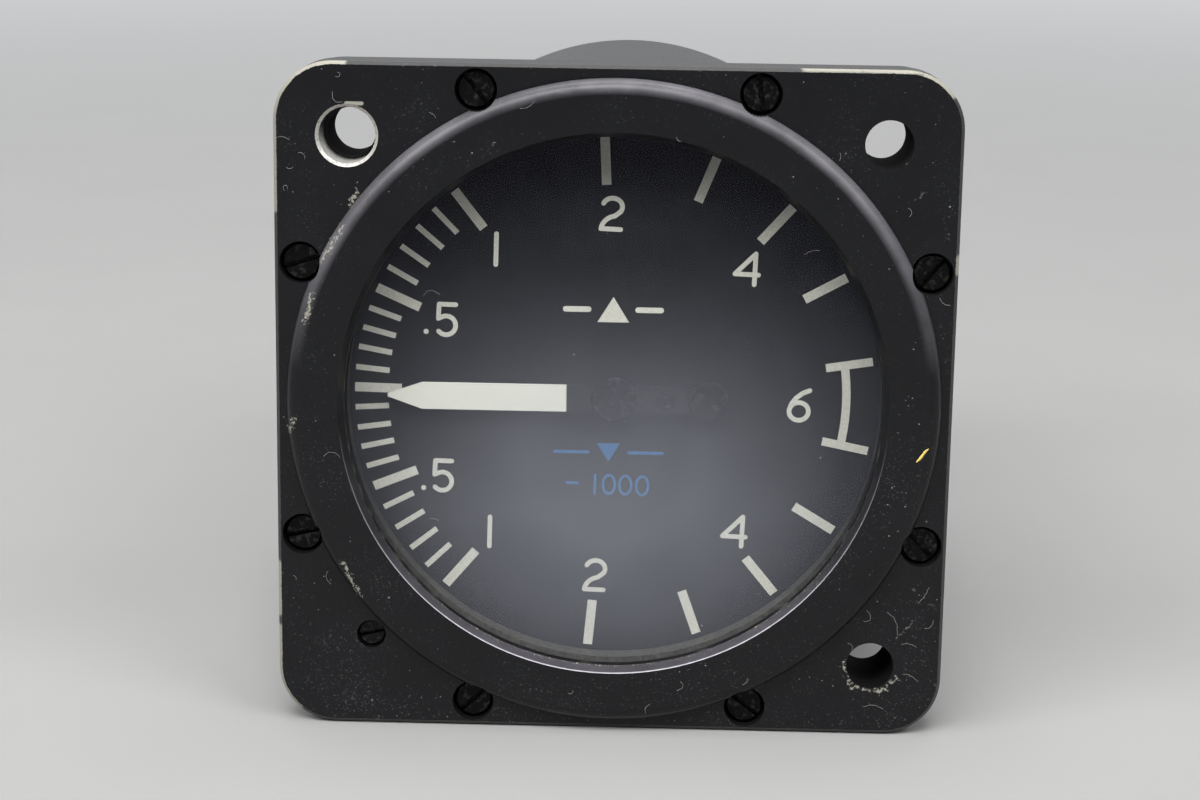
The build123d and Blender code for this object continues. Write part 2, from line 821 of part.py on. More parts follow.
def make_hairspring():
    """Flat spiral strip of half circles, each wider than the last, from the collet out to the stud."""
    pitch = (spring_outer - spring_inner) / spring_turns

    def edge_arcs(offset):
        """Half circles along one side of the strip."""
        arcs = []
        for i in range(2 * spring_turns):
            side = (-1) ** i
            radius = spring_inner + pitch / 4 + i * pitch / 2 + offset
            centre = -side * pitch / 4
            arcs.append(ThreePointArc((centre + side * radius, 0), (centre, side * radius),
                                      (centre - side * radius, 0)))
        return arcs

    inside = edge_arcs(-spring_strip / 2)
    outside = edge_arcs(spring_strip / 2)
    ends = [Line(inside[0] @ 0, outside[0] @ 0), Line(inside[-1] @ 1, outside[-1] @ 1)]
    strip = make_face(inside + outside + ends)
    return plate(Rot(0, 0, stud_angle) * strip, spring_y, spring_y + spring_width)


def make_hairspring_stud():
    radius = spring_outer + spring_strip / 2 + stud_radius + seat
    return rod(stud_radius, spring_y - 0.3, middle_front, polar(radius, stud_angle))


def make_pointer():
    tip_x = -pointer_reach
    neck_x = tip_x + pointer_head
    blade = Polygon(
        (tip_x, -pointer_tip), (neck_x, -pointer_half_width), (pointer_tail, -pointer_half_width),
        (pointer_tail, pointer_half_width), (neck_x, pointer_half_width), (tip_x, pointer_tip), align=None)
    outline = blade + Pos(pointer_tail, 0) * Circle(tail_disc_radius - 0.15)
    outline -= Circle(sleeve_radius + seat)
    outline -= Pos(pointer_tail, 0) * Circle(0.7 + seat)
    outline -= Pos(rivet_out, 0) * Circle(0.4 + seat)
    return plate(outline, pointer_front, pointer_rear)


def make_pointer_hub():
    disc = rod(hub_radius, hub_front, pointer_front)
    disc = fillet(disc.edges().filter_by(GeomType.CIRCLE).sort_by(Axis.Y)[0], hub_thick / 2)
    sleeve = rod(sleeve_radius, pointer_front, pointer_front + sleeve_length)
    bore = rod(staff_front_radius + seat, hub_front - 1, dial_rear)
    return disc + sleeve - bore


def make_pointer_weight():
    place = (pointer_tail, 0)
    disc = rod(tail_disc_radius, pointer_front - tail_disc_thick, pointer_front, place)
    disc = fillet(disc.edges().filter_by(GeomType.CIRCLE).sort_by(Axis.Y)[0], tail_disc_thick / 2)
    core = rod(0.7, pointer_front, pointer_rear, place)
    slug = rod(tail_slug_radius, pointer_rear, pointer_rear + tail_slug_thick, place)
    return disc + core + slug


def make_pointer_rivet():
    place = (rivet_out, 0)
    head = rod(rivet_radius, pointer_front - rivet_thick, pointer_front, place)
    head = fillet(head.edges().filter_by(GeomType.CIRCLE).sort_by(Axis.Y)[0], rivet_thick / 2)
    core = rod(0.4, pointer_front, pointer_rear, place)
    return head + core + rod(0.65, pointer_rear, pointer_rear + rivet_thick, place)


# Movement frame
def notched_disc():
    """Round plate with a notch by each lug, so the movement can pass into the case."""
    disc = Circle(plate_radius)
    for angle in lug_angles:
        notch = Rectangle(2 * lug_depth + 1, 2 * lug_half_width + 1.2)
        disc -= Rot(0, 0, angle) * Pos(plate_radius + 0.3, 0) * notch
    return disc


def light_holes():
    """Round openings that lighten the two front plates."""
    places = [polar(plate_radius - light_hole_inset, a) for a in light_hole_angles]
    return [Pos(*place) * Circle(light_hole_radius) for place in places]


def jewel_places():
    """Bearings as (place, bore, front of the plate)."""
    return [
        ((0, 0), staff_radius, plate_front),
        (rocker_place, pivot_radius, plate_front),
        ((0, 0), pivot_radius, middle_front),
        (rocker_place, pivot_radius, back_front),
    ]


def make_front_plate():
    outline = Circle(plate_radius)
    for place in lug_places + pillar_places:
        outline -= Pos(*place) * Circle(frame_screw_radius + rim_gap)
    for place, bore, front in jewel_places()[:2]:
        outline -= Pos(*place) * Circle(bore + jewel_wall + seat)
    outline -= Pos(*zero_shaft_place) * Circle(zero_shaft_radius + run)
    outline -= light_holes()
    for place in stop_places():
        outline -= Pos(*place) * Circle(stop_radius + seat)
    return plate(outline, plate_front, plate_rear)


def make_middle_plate():
    outline = notched_disc()
    for place in pillar_places:
        outline -= Pos(*place) * Circle(pillar_stud + rim_gap)
    outline -= Circle(pivot_radius + jewel_wall + seat)
    outline -= Pos(*rocker_place) * Circle(shaft_radius + 0.6)
    outline -= Pos(*zero_shaft_place) * Circle(zero_shaft_radius + 0.5)
    outline -= light_holes()
    return plate(outline, middle_front, middle_rear)


def make_back_plate():
    outline = notched_disc()
    for place in pillar_places:
        outline -= Pos(*place) * Circle(frame_screw_radius + rim_gap)
    outline -= Pos(*rocker_place) * Circle(pivot_radius + jewel_wall + seat)
    outline -= Pos(*zero_shaft_place) * Circle(zero_shaft_radius + run)
    outline -= Pos(-line_left, 0) * Circle(line_radius + 0.8)
    outline -= Circle(7.5)
    return plate(outline, back_front, back_rear)


def make_pivot_jewels():
    jewels = []
    for place, bore, front in jewel_places():
        outer = bore + jewel_wall
        rear = front + plate_thick
        inner_lip = (rear, rear + jewel_lip) if front == plate_front else (front - jewel_lip, front)
        ring = tube(outer, bore + run, front, rear, place)
        lip = tube(outer + 0.35, bore + run, inner_lip[0], inner_lip[1], place)
        jewels.append(ring + lip)
    return group(jewels)


def make_front_pillars():
    pillars = []
    for place in pillar_places:
        body = rod(pillar_radius, plate_rear, middle_front, place)
        body -= rod(frame_screw_radius + seat, plate_rear - 1, plate_rear + 3.8, place)
        body -= rod(pillar_stud + seat, middle_front - 4.2, middle_front + 1, place)
        pillars.append(body)
    return group(pillars)


def make_rear_pillars():
    pillars = []
    for place in pillar_places:
        body = rod(pillar_radius, middle_rear, back_front, place)
        body += rod(pillar_stud, middle_front - 4.0, middle_rear, place)
        body -= rod(frame_screw_radius + seat, back_front - 4.5, back_front + 1, place)
        pillars.append(body)
    return group(pillars)


def frame_screw(seat_y, turn):
    return slotted_screw(frame_head_radius, frame_head_height, frame_screw_radius, seat_y,
                         frame_screw_length - 0.4, turn, 0.35, 0.4)


def make_frame_screws():
    """Screws that hold the front plate to the lugs inside the case."""
    return group(moved(frame_screw(plate_front, 20 + 35 * i), p) for i, p in enumerate(lug_places))


def make_pillar_screws():
    """Screws through the front plate and the back plate into the pillars."""
    screws = []
    for i, place in enumerate(pillar_places):
        screws.append(moved(frame_screw(plate_front, 65 * i), place))
        rear_screw = mirror(frame_screw(-back_rear, 40 * i), Plane.XZ)
        screws.append(moved(rear_screw, place))
    return group(screws)


def stop_places():
    """Pins that the sector's arms meet just past full scale."""
    arm_edge = sector_teeth / 2 * tooth_step - arm_inset + degrees(asin(sector_arm_width / 2 / stop_distance))
    swing = arm_edge + sector_travel + stop_play + degrees(asin(stop_radius / stop_distance))
    return [
        (pivot_x + polar(stop_distance, sector_aim + side * swing)[0],
         pivot_z + polar(stop_distance, sector_aim + side * swing)[1])
        for side in (1, -1)
    ]


def make_stop_pins():
    return group(rod(stop_radius, plate_front, sector_y + sector_thick + 0.5, p) for p in stop_places())


# Static manifold, restrictor, filter and the line to the capsule
def make_static_manifold():
    body = rod(manifold_radius, manifold_front, case_inside)
    body += rod(port_passage - seat, case_inside, port_end - port_depth - 0.3)
    body -= rod(0.8, manifold_front - 1, port_end)
    for angle in (90, 210, 330):
        body -= rod(frame_screw_radius + rim_gap, manifold_front - 1, case_inside + 1,
                    polar(manifold_screw_circle, angle))
    outlet = Pos(-manifold_radius / 2 - 0.5, manifold_front + manifold_thick / 2, 0)
    body -= outlet * Rot(0, 90, 0) * Cylinder(line_bore, manifold_radius + 1)
    return body


def make_manifold_screws():
    screws = []
    for i, angle in enumerate((90, 210, 330)):
        screw = slotted_screw(frame_head_radius, frame_head_height, frame_screw_radius, manifold_front,
                              manifold_thick + rear_wall - 1.4, 25 + 50 * i, 0.35, 0.4)
        screws.append(moved(screw, polar(manifold_screw_circle, angle)))
    return group(screws)


def make_restrictor():
    """Metering body: lets the case follow the static pressure only slowly."""
    body = turned(
        (leak_radius, restrictor_front), (restrictor_radius - 0.3, restrictor_front),
        (restrictor_radius, restrictor_front + 0.3), (restrictor_radius, restrictor_front + 7.0),
        (restrictor_radius - 0.6, restrictor_front + 7.6), (restrictor_radius - 0.6, manifold_front - 2.6),
        (restrictor_radius + 0.6, manifold_front - 2.6), (restrictor_radius + 0.6, manifold_front),
        (leak_radius, manifold_front))
    return body


def make_restrictor_filter():
    disc = rod(restrictor_radius - 0.3, filter_front, restrictor_front)
    return fillet(disc.edges().filter_by(GeomType.CIRCLE).sort_by(Axis.Y)[0], 0.3)


def make_capsule_line():
    """Thin static tube from the manifold to the capsule's stem."""
    outlet_y = manifold_front + manifold_thick / 2
    stem_end = -capsule_thick / 2 - stem_reach - carrier_thick - nut_thick - nipple_length
    path = FilletPolyline(
        (-manifold_radius, outlet_y, 0), (-line_left, outlet_y, 0), (-line_left, capsule_y, 0),
        (stem_end, capsule_y, 0), radius=line_bend)
    return sweep(Plane(path @ 0, z_dir=path % 0) * (Circle(line_radius) - Circle(line_bore)), path=path)


parts = {
    "bezel": make_bezel,
    "bezel_screws": make_bezel_screws,
    "case": make_case,
    "case_flange": make_case_flange,
    "case_back": make_case_back,
    "case_seal": make_case_seal,
    "window_glass": make_glass,
    "window_gasket": make_window_gasket,
    "spacer_ring": make_spacer_ring,
    "dial": make_dial,
    "dial_marks": make_dial_marks,
    "pointer": make_pointer,
    "pointer_hub": make_pointer_hub,
    "pointer_weight": make_pointer_weight,
    "pointer_rivet": make_pointer_rivet,
    "handstaff": make_handstaff,
    "hairspring": make_hairspring,
    "hairspring_collet": make_hairspring_collet,
    "hairspring_stud": make_hairspring_stud,
    "sector_gear": make_sector_gear,
    "sector_weight": make_sector_weight,
    "rocking_shaft": make_rocking_shaft,
    "crank": make_crank,
    "capsule": make_capsule,
    "capsule_post": make_capsule_post,
    "capsule_stem": make_capsule_stem,
    "stem_nut": make_stem_nut,
    "capsule_carrier": make_capsule_carrier,
    "zero_shaft": make_zero_shaft,
    "zero_lever": make_zero_lever,
    "zero_screw": make_zero_screw,
    "zero_screw_seal": make_zero_screw_seal,
    "front_plate": make_front_plate,
    "middle_plate": make_middle_plate,
    "back_plate": make_back_plate,
    "front_pillars": make_front_pillars,
    "rear_pillars": make_rear_pillars,
    "frame_screws": make_frame_screws,
    "pillar_screws": make_pillar_screws,
    "pivot_jewels": make_pivot_jewels,
    "stop_pins": make_stop_pins,
    "static_manifold": make_static_manifold,
    "manifold_screws": make_manifold_screws,
    "restrictor": make_restrictor,
    "restrictor_filter": make_restrictor_filter,
    "capsule_line": make_capsule_line,
}

os.makedirs("parts", exist_ok=True)
for name, make in parts.items():
    export_step(make(), f"parts/{name}.step")
print("case length", round(case_end, 2), "flange", round(flange_width, 2),
      "mount spacing", round(2 * mount_offset, 2), "sector teeth", sector_teeth)
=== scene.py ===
import math
import random

import bmesh
import bpy
from mathutils import Matrix, Vector


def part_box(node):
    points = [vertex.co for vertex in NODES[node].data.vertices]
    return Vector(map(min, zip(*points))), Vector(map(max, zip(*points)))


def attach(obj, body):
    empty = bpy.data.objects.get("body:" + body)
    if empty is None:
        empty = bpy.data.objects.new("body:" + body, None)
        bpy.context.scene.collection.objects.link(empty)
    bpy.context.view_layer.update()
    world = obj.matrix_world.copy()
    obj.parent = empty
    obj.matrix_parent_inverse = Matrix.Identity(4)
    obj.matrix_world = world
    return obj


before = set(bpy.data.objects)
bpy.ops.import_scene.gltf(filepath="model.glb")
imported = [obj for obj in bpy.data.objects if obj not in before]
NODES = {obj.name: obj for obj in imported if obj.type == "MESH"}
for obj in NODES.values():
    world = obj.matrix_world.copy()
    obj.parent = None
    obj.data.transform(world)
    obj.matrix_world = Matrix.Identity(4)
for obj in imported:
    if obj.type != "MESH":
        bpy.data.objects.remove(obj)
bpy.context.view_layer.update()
MM = 0.001


# Places on the instrument, in millimetres, read from its own parts
def low_mm(name):
    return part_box(name)[0] / MM


def high_mm(name):
    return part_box(name)[1] / MM


HALF_FLANGE = high_mm("bezel").x
FLANGE_CORNER = 5.2
RING_FRONT = low_mm("bezel").y
FLANGE_FRONT = min(v.co.y for v in NODES["bezel"].data.vertices if v.co.x > 0.97 * HALF_FLANGE * MM) / MM
FLANGE_REAR = high_mm("bezel").y
GLASS_FRONT = low_mm("window_glass").y
DIAL_FRONT = low_mm("dial").y
FACE_FRONTS = {"flange": FLANGE_FRONT, "ring": RING_FRONT, "glass": GLASS_FRONT}
CASE_WALL = 2.0
CASE_FIT = 0.02
CASE_RADIUS = high_mm("case_back").x + CASE_FIT + CASE_WALL
CASE_END = high_mm("case").y
CASE_END_ROUND = 1.6
SCREW_HOLE = 23.69
HOLE_RADIUS = 2.15
PANEL_HOLES = [(-SCREW_HOLE, SCREW_HOLE), (SCREW_HOLE, SCREW_HOLE), (SCREW_HOLE, -SCREW_HOLE)]
WORN_HOLE_RADIUS = 2.5
WORN_RIM = 0.4
ZERO_SCREW = (-21.7, -21.7)
SCREW_CIRCLE = 30.5
SCREW_LEAN = math.radians(24.0)
SCREW_PLACES = [(SCREW_CIRCLE * math.sin(SCREW_LEAN), SCREW_CIRCLE * math.cos(SCREW_LEAN)),
                (SCREW_CIRCLE * math.cos(SCREW_LEAN), SCREW_CIRCLE * math.sin(SCREW_LEAN))]
WELL_RADIUS = 1.85
RING_RADIUS = 29.1
WINDOW_RADIUS = 24.05


# Colours are written as the eye names them and turned to the renderer's linear light
def linear(code):
    parts = [int(code[i:i + 2], 16) / 255 for i in (1, 3, 5)]
    return (*[p / 12.92 if p <= 0.04045 else ((p + 0.055) / 1.055) ** 2.4 for p in parts], 1.0)


# Adds one shader node with its settings, and gives its inputs values or links
def add(tree, kind, inputs=None, **settings):
    made = tree.nodes.new("ShaderNode" + kind)
    for name, value in settings.items():
        setattr(made, name, value)
    for name, value in (inputs or {}).items():
        if isinstance(value, bpy.types.NodeSocket):
            tree.links.new(value, made.inputs[name])
        else:
            made.inputs[name].default_value = value
    return made


# A value carried over from one range to another, and held at both ends
def ramp(tree, value, start, end, low=0.0, high=1.0, **settings):
    span = {"Value": value, "From Min": start, "From Max": end, "To Min": low, "To Max": high}
    return add(tree, "MapRange", span, **settings).outputs[0]


# Two values put together by one rule, such as ADD, MULTIPLY, MAXIMUM or MINIMUM
def join(tree, rule, first, second):
    return add(tree, "Math", {0: first, 1: second}, operation=rule).outputs[0]


# The same for two points or directions
def vector(tree, rule, first, second=(0, 0, 0)):
    return add(tree, "VectorMath", {0: first, 1: second}, operation=rule).outputs["Vector"]


# A length, a distance, or how far one direction runs along another
def measure(tree, rule, first, second=(0, 0, 0)):
    return add(tree, "VectorMath", {0: first, 1: second}, operation=rule).outputs["Value"]


# A colour between two others, each a colour code or what another node gives
def between(tree, share, first, second):
    ends = [linear(c) if isinstance(c, str) else c for c in (first, second)]
    return add(tree, "Mix", {0: share, 6: ends[0], 7: ends[1]}, data_type="RGBA").outputs[2]


# A cloudy pattern with lumps of about the given size in millimetres
def clouds(tree, point, size_mm, detail, roughness=0.5, distortion=0.0):
    grain = {"Vector": point, "Scale": 1 / size_mm, "Detail": detail, "Roughness": roughness}
    return add(tree, "TexNoise", {**grain, "Distortion": distortion}).outputs[0]


# Relief that a pattern presses into a surface, to a depth in millimetres
def relief(tree, pattern, strength, depth_mm, **settings):
    press = {"Height": pattern, "Strength": strength, "Distance": depth_mm * MM}
    return add(tree, "Bump", press, **settings).outputs[0]


# An empty material with its node tree
def blank(name):
    material = bpy.data.materials.new(name)
    material.use_nodes = True
    material.node_tree.nodes.clear()
    return material, material.node_tree


def show(tree, shader, bump=None):
    if bump is not None:
        tree.links.new(bump, shader.inputs["Normal"])
    add(tree, "OutputMaterial", {"Surface": shader.outputs[0]})


# The surface point in millimetres of the instrument's own frame
def place(tree):
    point = add(tree, "TexCoord").outputs["Object"]
    return add(tree, "VectorMath", {0: point, "Scale": 1 / MM}, operation="SCALE").outputs[0]


# One coordinate of the surface point: X to the right, Y to the rear, Z up
def coordinate(tree, point, axis):
    return add(tree, "SeparateXYZ", {0: point}).outputs[axis]


# The surface point as seen straight from the front, without its depth
def from_front(tree, point):
    return vector(tree, "MULTIPLY", point, (1, 0, 1))


# 1 on the flange's front edge, fading over the given width on the front face and on the side
def flange_edge(tree, point, width):
    folded = vector(tree, "ABSOLUTE", from_front(tree, point))
    straight = HALF_FLANGE - FLANGE_CORNER
    past = vector(tree, "SUBTRACT", folded, (straight, 0, straight))
    reach = measure(tree, "LENGTH", vector(tree, "MAXIMUM", past))
    rim = ramp(tree, reach, FLANGE_CORNER - width, FLANGE_CORNER)
    depth = coordinate(tree, point, "Y")
    face = ramp(tree, depth, FLANGE_FRONT + 1.6 * width, FLANGE_FRONT + 0.4 * width)
    return join(tree, "MULTIPLY", rim, face)


# Distance in millimetres from the surface point to the nearest of the listed lines, each x, z to x, z
def line_distance(tree, point, lines):
    flat = from_front(tree, point)
    least = None
    for x1, z1, x2, z2 in lines:
        run = Vector((x2 - x1, 0, z2 - z1))
        start = vector(tree, "SUBTRACT", flat, (x1, 0, z1))
        share = ramp(tree, measure(tree, "DOT_PRODUCT", start, run / run.length_squared), 0.0, 1.0)
        foot = add(tree, "VectorMath", {0: run, "Scale": share}, operation="SCALE").outputs[0]
        away = measure(tree, "DISTANCE", start, foot)
        least = away if least is None else join(tree, "MINIMUM", least, away)
    return least


# 1 on the ring's rounded outer edge over its upper half, fading to 0 below: a painted highlight where the
# lamps above light the edge
def ring_edge_painted_highlight(tree, point):
    radius = measure(tree, "LENGTH", from_front(tree, point))
    band = ramp(tree, radius, RING_RADIUS - 1.35, RING_RADIUS - 0.75)
    upper = ramp(tree, coordinate(tree, point, "Z"), 3.0, 16.0)
    proud = ramp(tree, coordinate(tree, point, "Y"), FLANGE_FRONT - 0.02, FLANGE_FRONT - 0.1)
    return join(tree, "MULTIPLY", join(tree, "MULTIPLY", band, upper), proud)


# Where the flange's edge has lost its paint, and where chips and scratches lie, in millimetres
EDGE_WEAR = [(-30.2, 17.4, -30.2, 25.0), (-30.2, 25.0, -28.6, 28.6), (-28.6, 28.6, -24.3, 30.2),
             (16.3, 30.5, 20.8, 30.5), (21.4, 30.5, 26.2, 30.4),
             (26.9, 29.8, 28.9, 28.4), (-30.2, -15.6, -30.2, -16.8), (-30.2, -17.8, -30.2, -19.6),
             (-30.2, -21.6, -30.2, -25.4), (-30.2, -25.4, -28.6, -28.6), (30.2, 13.5, 30.2, 12.9)]
CHIPPED = [(-27.3, 7.4, -26.7, 9.9), (-26.3, 12.0, -24.0, 15.8), (-23.4, 17.7, -22.8, 18.7),
           (-28.9, -2.6, -28.4, -1.3), (-24.1, -14.6, -22.6, -17.6), (21.3, -23.6, 22.3, -25.7),
           (22.3, -25.7, 24.8, -26.1), (24.8, -26.1, 26.1, -24.9)]
SCRATCHED = [(-18.7, 29.9, -16.0, 29.9), (27.2, -16.3, 29.5, -18.2), (26.0, -21.0, 28.0, -18.9),
             (26.8, -23.4, 29.0, -23.0), (28.6, 17.4, 29.2, 15.4), (28.2, 13.4, 29.4, 11.8),
             (26.1, 18.8, 27.0, 19.8), (25.9, 23.5, 25.2, 22.1)]
BARE_PATCH = (-23.7, 26.5, -22.35, 26.5)


# Chalky dust on the paint, in patches and thicker lower down. Its grains are near 0.05 mm, and are drawn
# at 0.15 mm so that they show.
def chalky_dust(tree, point, cloud):
    grain_size_mm = 0.15
    patches = ramp(tree, cloud, 0.35, 0.7, -0.05, 0.05)
    thick = ramp(tree, coordinate(tree, point, "Z"), 8.0, -24.0, 0.0, 0.035)
    dust = join(tree, "ADD", clouds(tree, point, grain_size_mm, 2.0), patches)
    return ramp(tree, join(tree, "ADD", dust, thick), 0.68, 0.86, 0.0, 0.5)


# How far the paint has gone: first down to bare metal, then only rubbed thin and grey
def paint_wear(tree, point):
    chip_grain_mm = 0.3
    grain = clouds(tree, point, chip_grain_mm, 4.0, 0.7)
    chip = ramp(tree, line_distance(tree, point, CHIPPED), 0.9, 0.05, 0.0, 0.34)
    fleck = ramp(tree, join(tree, "ADD", chip, grain), 0.81, 0.88)
    patch = ramp(tree, line_distance(tree, point, [BARE_PATCH]), 0.2, 0.12)
    waver = ramp(tree, grain, 0.3, 0.7, -0.12, 0.12)
    edge = ramp(tree, join(tree, "ADD", flange_edge(tree, point, 0.4), waver), 0.22, 0.34)
    rubbed = ramp(tree, line_distance(tree, point, EDGE_WEAR), 0.75, 0.45)
    bare = join(tree, "MAXIMUM", join(tree, "MULTIPLY", edge, rubbed), fleck)
    scratch = ramp(tree, line_distance(tree, point, SCRATCHED), 0.55, 0.05, 0.0, 0.3)
    graze = ramp(tree, join(tree, "ADD", scratch, grain), 0.84, 0.95, 0.0, 0.45)
    greyed = join(tree, "MAXIMUM", join(tree, "MULTIPLY", edge, 0.16), graze)
    return join(tree, "MAXIMUM", bare, patch), greyed


# Semi-matt black enamel sprayed on cast aluminium: a deep cool black with a fine orange peel and chalky dust
# in its texture, pale bare metal where edges and corners have been rubbed, and on the bezel a streaked lilac
# grey painted highlight on the ring's upper rounded edge.
def sprayed_black_enamel(name, wear_and_highlight):
    material, tree = blank(name)
    point = place(tree)
    peel_size_mm, cloud_size_mm = 0.55, 6.0
    peel = clouds(tree, point, peel_size_mm, 4.0, 0.6)
    cloud = clouds(tree, point, cloud_size_mm, 4.0, 0.6)
    colour = between(tree, cloud, "#070709", "#121316")
    colour = between(tree, chalky_dust(tree, point, cloud), colour, "#8e8d8a")
    rough = ramp(tree, peel, 0.0, 1.0, 0.27, 0.4)
    metal = 0.0
    if wear_and_highlight:
        # painted highlight: streaked lilac grey on the ring's upper rounded edge, where the lamps above light
        # it
        streak = ramp(tree, cloud, 0.35, 0.6, 0.45, 0.8)
        painted_highlight = join(tree, "MULTIPLY", ring_edge_painted_highlight(tree, point), streak)
        bare, greyed = paint_wear(tree, point)
        colour = between(tree, painted_highlight, colour, "#706e73")
        colour = between(tree, greyed, colour, "#8c8b89")
        colour = between(tree, bare, colour, "#a29f94")
        metal = join(tree, "MULTIPLY", bare, 0.4)
        rough = add(tree, "Mix", {0: bare, 2: rough, 3: 0.6}).outputs[0]
    paint = add(tree, "BsdfPrincipled", {"Base Color": colour, "Metallic": metal, "Roughness": rough,
                                         "Specular IOR Level": 0.29})
    # the peel is a few hundredths of a millimetre deep
    show(tree, paint, relief(tree, peel, 0.35, 0.03))
    return material


# Thin black primer in the bores and screw wells, which the spray gun hardly reached: dull and very dark
def thin_primer():
    material, tree = blank("thin_black_primer")
    patch_mm = 0.6
    patch = clouds(tree, place(tree), patch_mm, 4.0, 0.65)
    colour = between(tree, patch, "#040404", "#121211")
    primer = add(tree, "BsdfPrincipled", {"Base Color": colour, "Roughness": 0.9, "Specular IOR Level": 0.12})
    show(tree, primer, relief(tree, patch, 0.3, 0.02))
    return material


# The top left hole, worn by years of screws: bare bright aluminium on its rim and brighter towards the bottom
# of its bore, and old black paint left in the rest
def bared_aluminium():
    material, tree = blank("bared_aluminium")
    point = place(tree)
    dirt_size_mm = 0.35
    dirt = clouds(tree, point, dirt_size_mm, 4.0, 0.7)
    from_centre = vector(tree, "SUBTRACT", point, (-SCREW_HOLE, 0, SCREW_HOLE))
    low_left = measure(tree, "DOT_PRODUCT", from_centre, (-0.5, 0, -0.86))
    rubbed = ramp(tree, join(tree, "ADD", low_left, dirt), 1.2, 2.3)
    rim = ramp(tree, coordinate(tree, point, "Y"), FLANGE_FRONT + 0.42, FLANGE_FRONT + 0.3, 0.0, 0.85)
    clean = ramp(tree, dirt, 0.36, 0.5, 0.55)
    bare = join(tree, "MULTIPLY", join(tree, "MAXIMUM", rubbed, rim), clean)
    colour = between(tree, bare, "#121211", "#dedbd4")
    rough = ramp(tree, dirt, 0.0, 1.0, 0.55, 0.3)
    metal = add(tree, "BsdfPrincipled", {"Base Color": colour, "Metallic": join(tree, "MULTIPLY", bare, 0.6),
                                         "Roughness": rough})
    show(tree, metal, relief(tree, dirt, 0.3, 0.02))
    return material


# Black enamel on the window's chamfer with a painted highlight round the lower half, which faces the lamps: a
# satin lilac grey with a bright painted line along its outer edge, and grains of dust caught along its inner
# one
def chamfer_enamel_painted_highlight():
    material, tree = blank("chamfer_enamel_painted_highlight")
    point = place(tree)
    drift_mm, grain_mm = 5.0, 0.16
    drift = clouds(tree, point, drift_mm, 3.0)
    grain = clouds(tree, point, grain_mm, 2.0)
    radius = measure(tree, "LENGTH", from_front(tree, point))
    lower = ramp(tree, coordinate(tree, point, "Z"), -2.0, -20.0)
    # painted highlight: satin lilac grey on the lower half, and a bright painted line along its outer edge
    painted_sheen = join(tree, "MULTIPLY", ramp(tree, drift, 0.3, 0.65, 0.45), lower)
    rim = ramp(tree, radius, WINDOW_RADIUS + 0.37, WINDOW_RADIUS + 0.42)
    line = join(tree, "MULTIPLY", rim, lower)
    inner = ramp(tree, radius, WINDOW_RADIUS + 0.2, WINDOW_RADIUS, 0.0, 0.14)
    caught = ramp(tree, join(tree, "ADD", grain, inner), 0.74, 0.82)
    colour = between(tree, painted_sheen, "#0c0c0d", "#454349")
    colour = between(tree, line, colour, "#c9c6cd")
    colour = between(tree, join(tree, "MULTIPLY", caught, lower), colour, "#b3ad95")
    rough = ramp(tree, grain, 0.0, 1.0, 0.28, 0.5)
    coat = add(tree, "BsdfPrincipled", {"Base Color": colour, "Roughness": rough, "Specular IOR Level": 0.35})
    show(tree, coat, relief(tree, grain, 0.12, 0.01))
    return material


# Blackened metal, with an oxide skin on the screws and thin lacquer on the pointer's tail: dark, with
# brighter worn spots.
# On the screws these spots are pale enough to be painted glints as well.
def blackened_metal(name, tone, bright_spot_tone):
    material, tree = blank(name)
    rub_size_mm = 0.5
    rub = clouds(tree, place(tree), rub_size_mm, 4.0, 0.65)
    colour = between(tree, ramp(tree, rub, 0.52, 0.75), tone, bright_spot_tone)
    rough = ramp(tree, rub, 0.0, 1.0, 0.55, 0.34)
    metal = add(tree, "BsdfPrincipled", {"Base Color": colour, "Metallic": 0.6, "Roughness": rough,
                                         "Specular IOR Level": 0.3})
    show(tree, metal, relief(tree, rub, 0.3, 0.02))
    return material


# How thick the film on the glass is, a dust film that is partly a painted glare: hardly any at the top, and
# most in a broad patch below the middle
FILM_AND_GLARE_CENTRE = (0, 0, -5)


def film_and_painted_glare(tree, point):
    smear_size_mm = 14.0
    smear = clouds(tree, point, smear_size_mm, 3.0, distortion=0.6)
    down = ramp(tree, coordinate(tree, point, "Z"), 13.0, -10.0)
    film_and_glare = join(tree, "MULTIPLY", down, ramp(tree, smear, 0.3, 0.7, 0.88, 1.12))
    spread = measure(tree, "DISTANCE", from_front(tree, point), FILM_AND_GLARE_CENTRE)
    film_and_glare = join(tree, "MULTIPLY", film_and_glare, ramp(tree, spread, 21.0, 8.0, 0.25))
    film_and_glare = ramp(tree, film_and_glare, 0.0, 1.0, 0.002, 0.17)
    # grains on the pane are drawn at 0.16 mm, the least that shows
    grain_size_mm = 0.16
    speck = ramp(tree, clouds(tree, point, grain_size_mm, 1.0), 0.8, 0.88, 0.0, 0.3)
    return join(tree, "MAXIMUM", film_and_glare, speck)


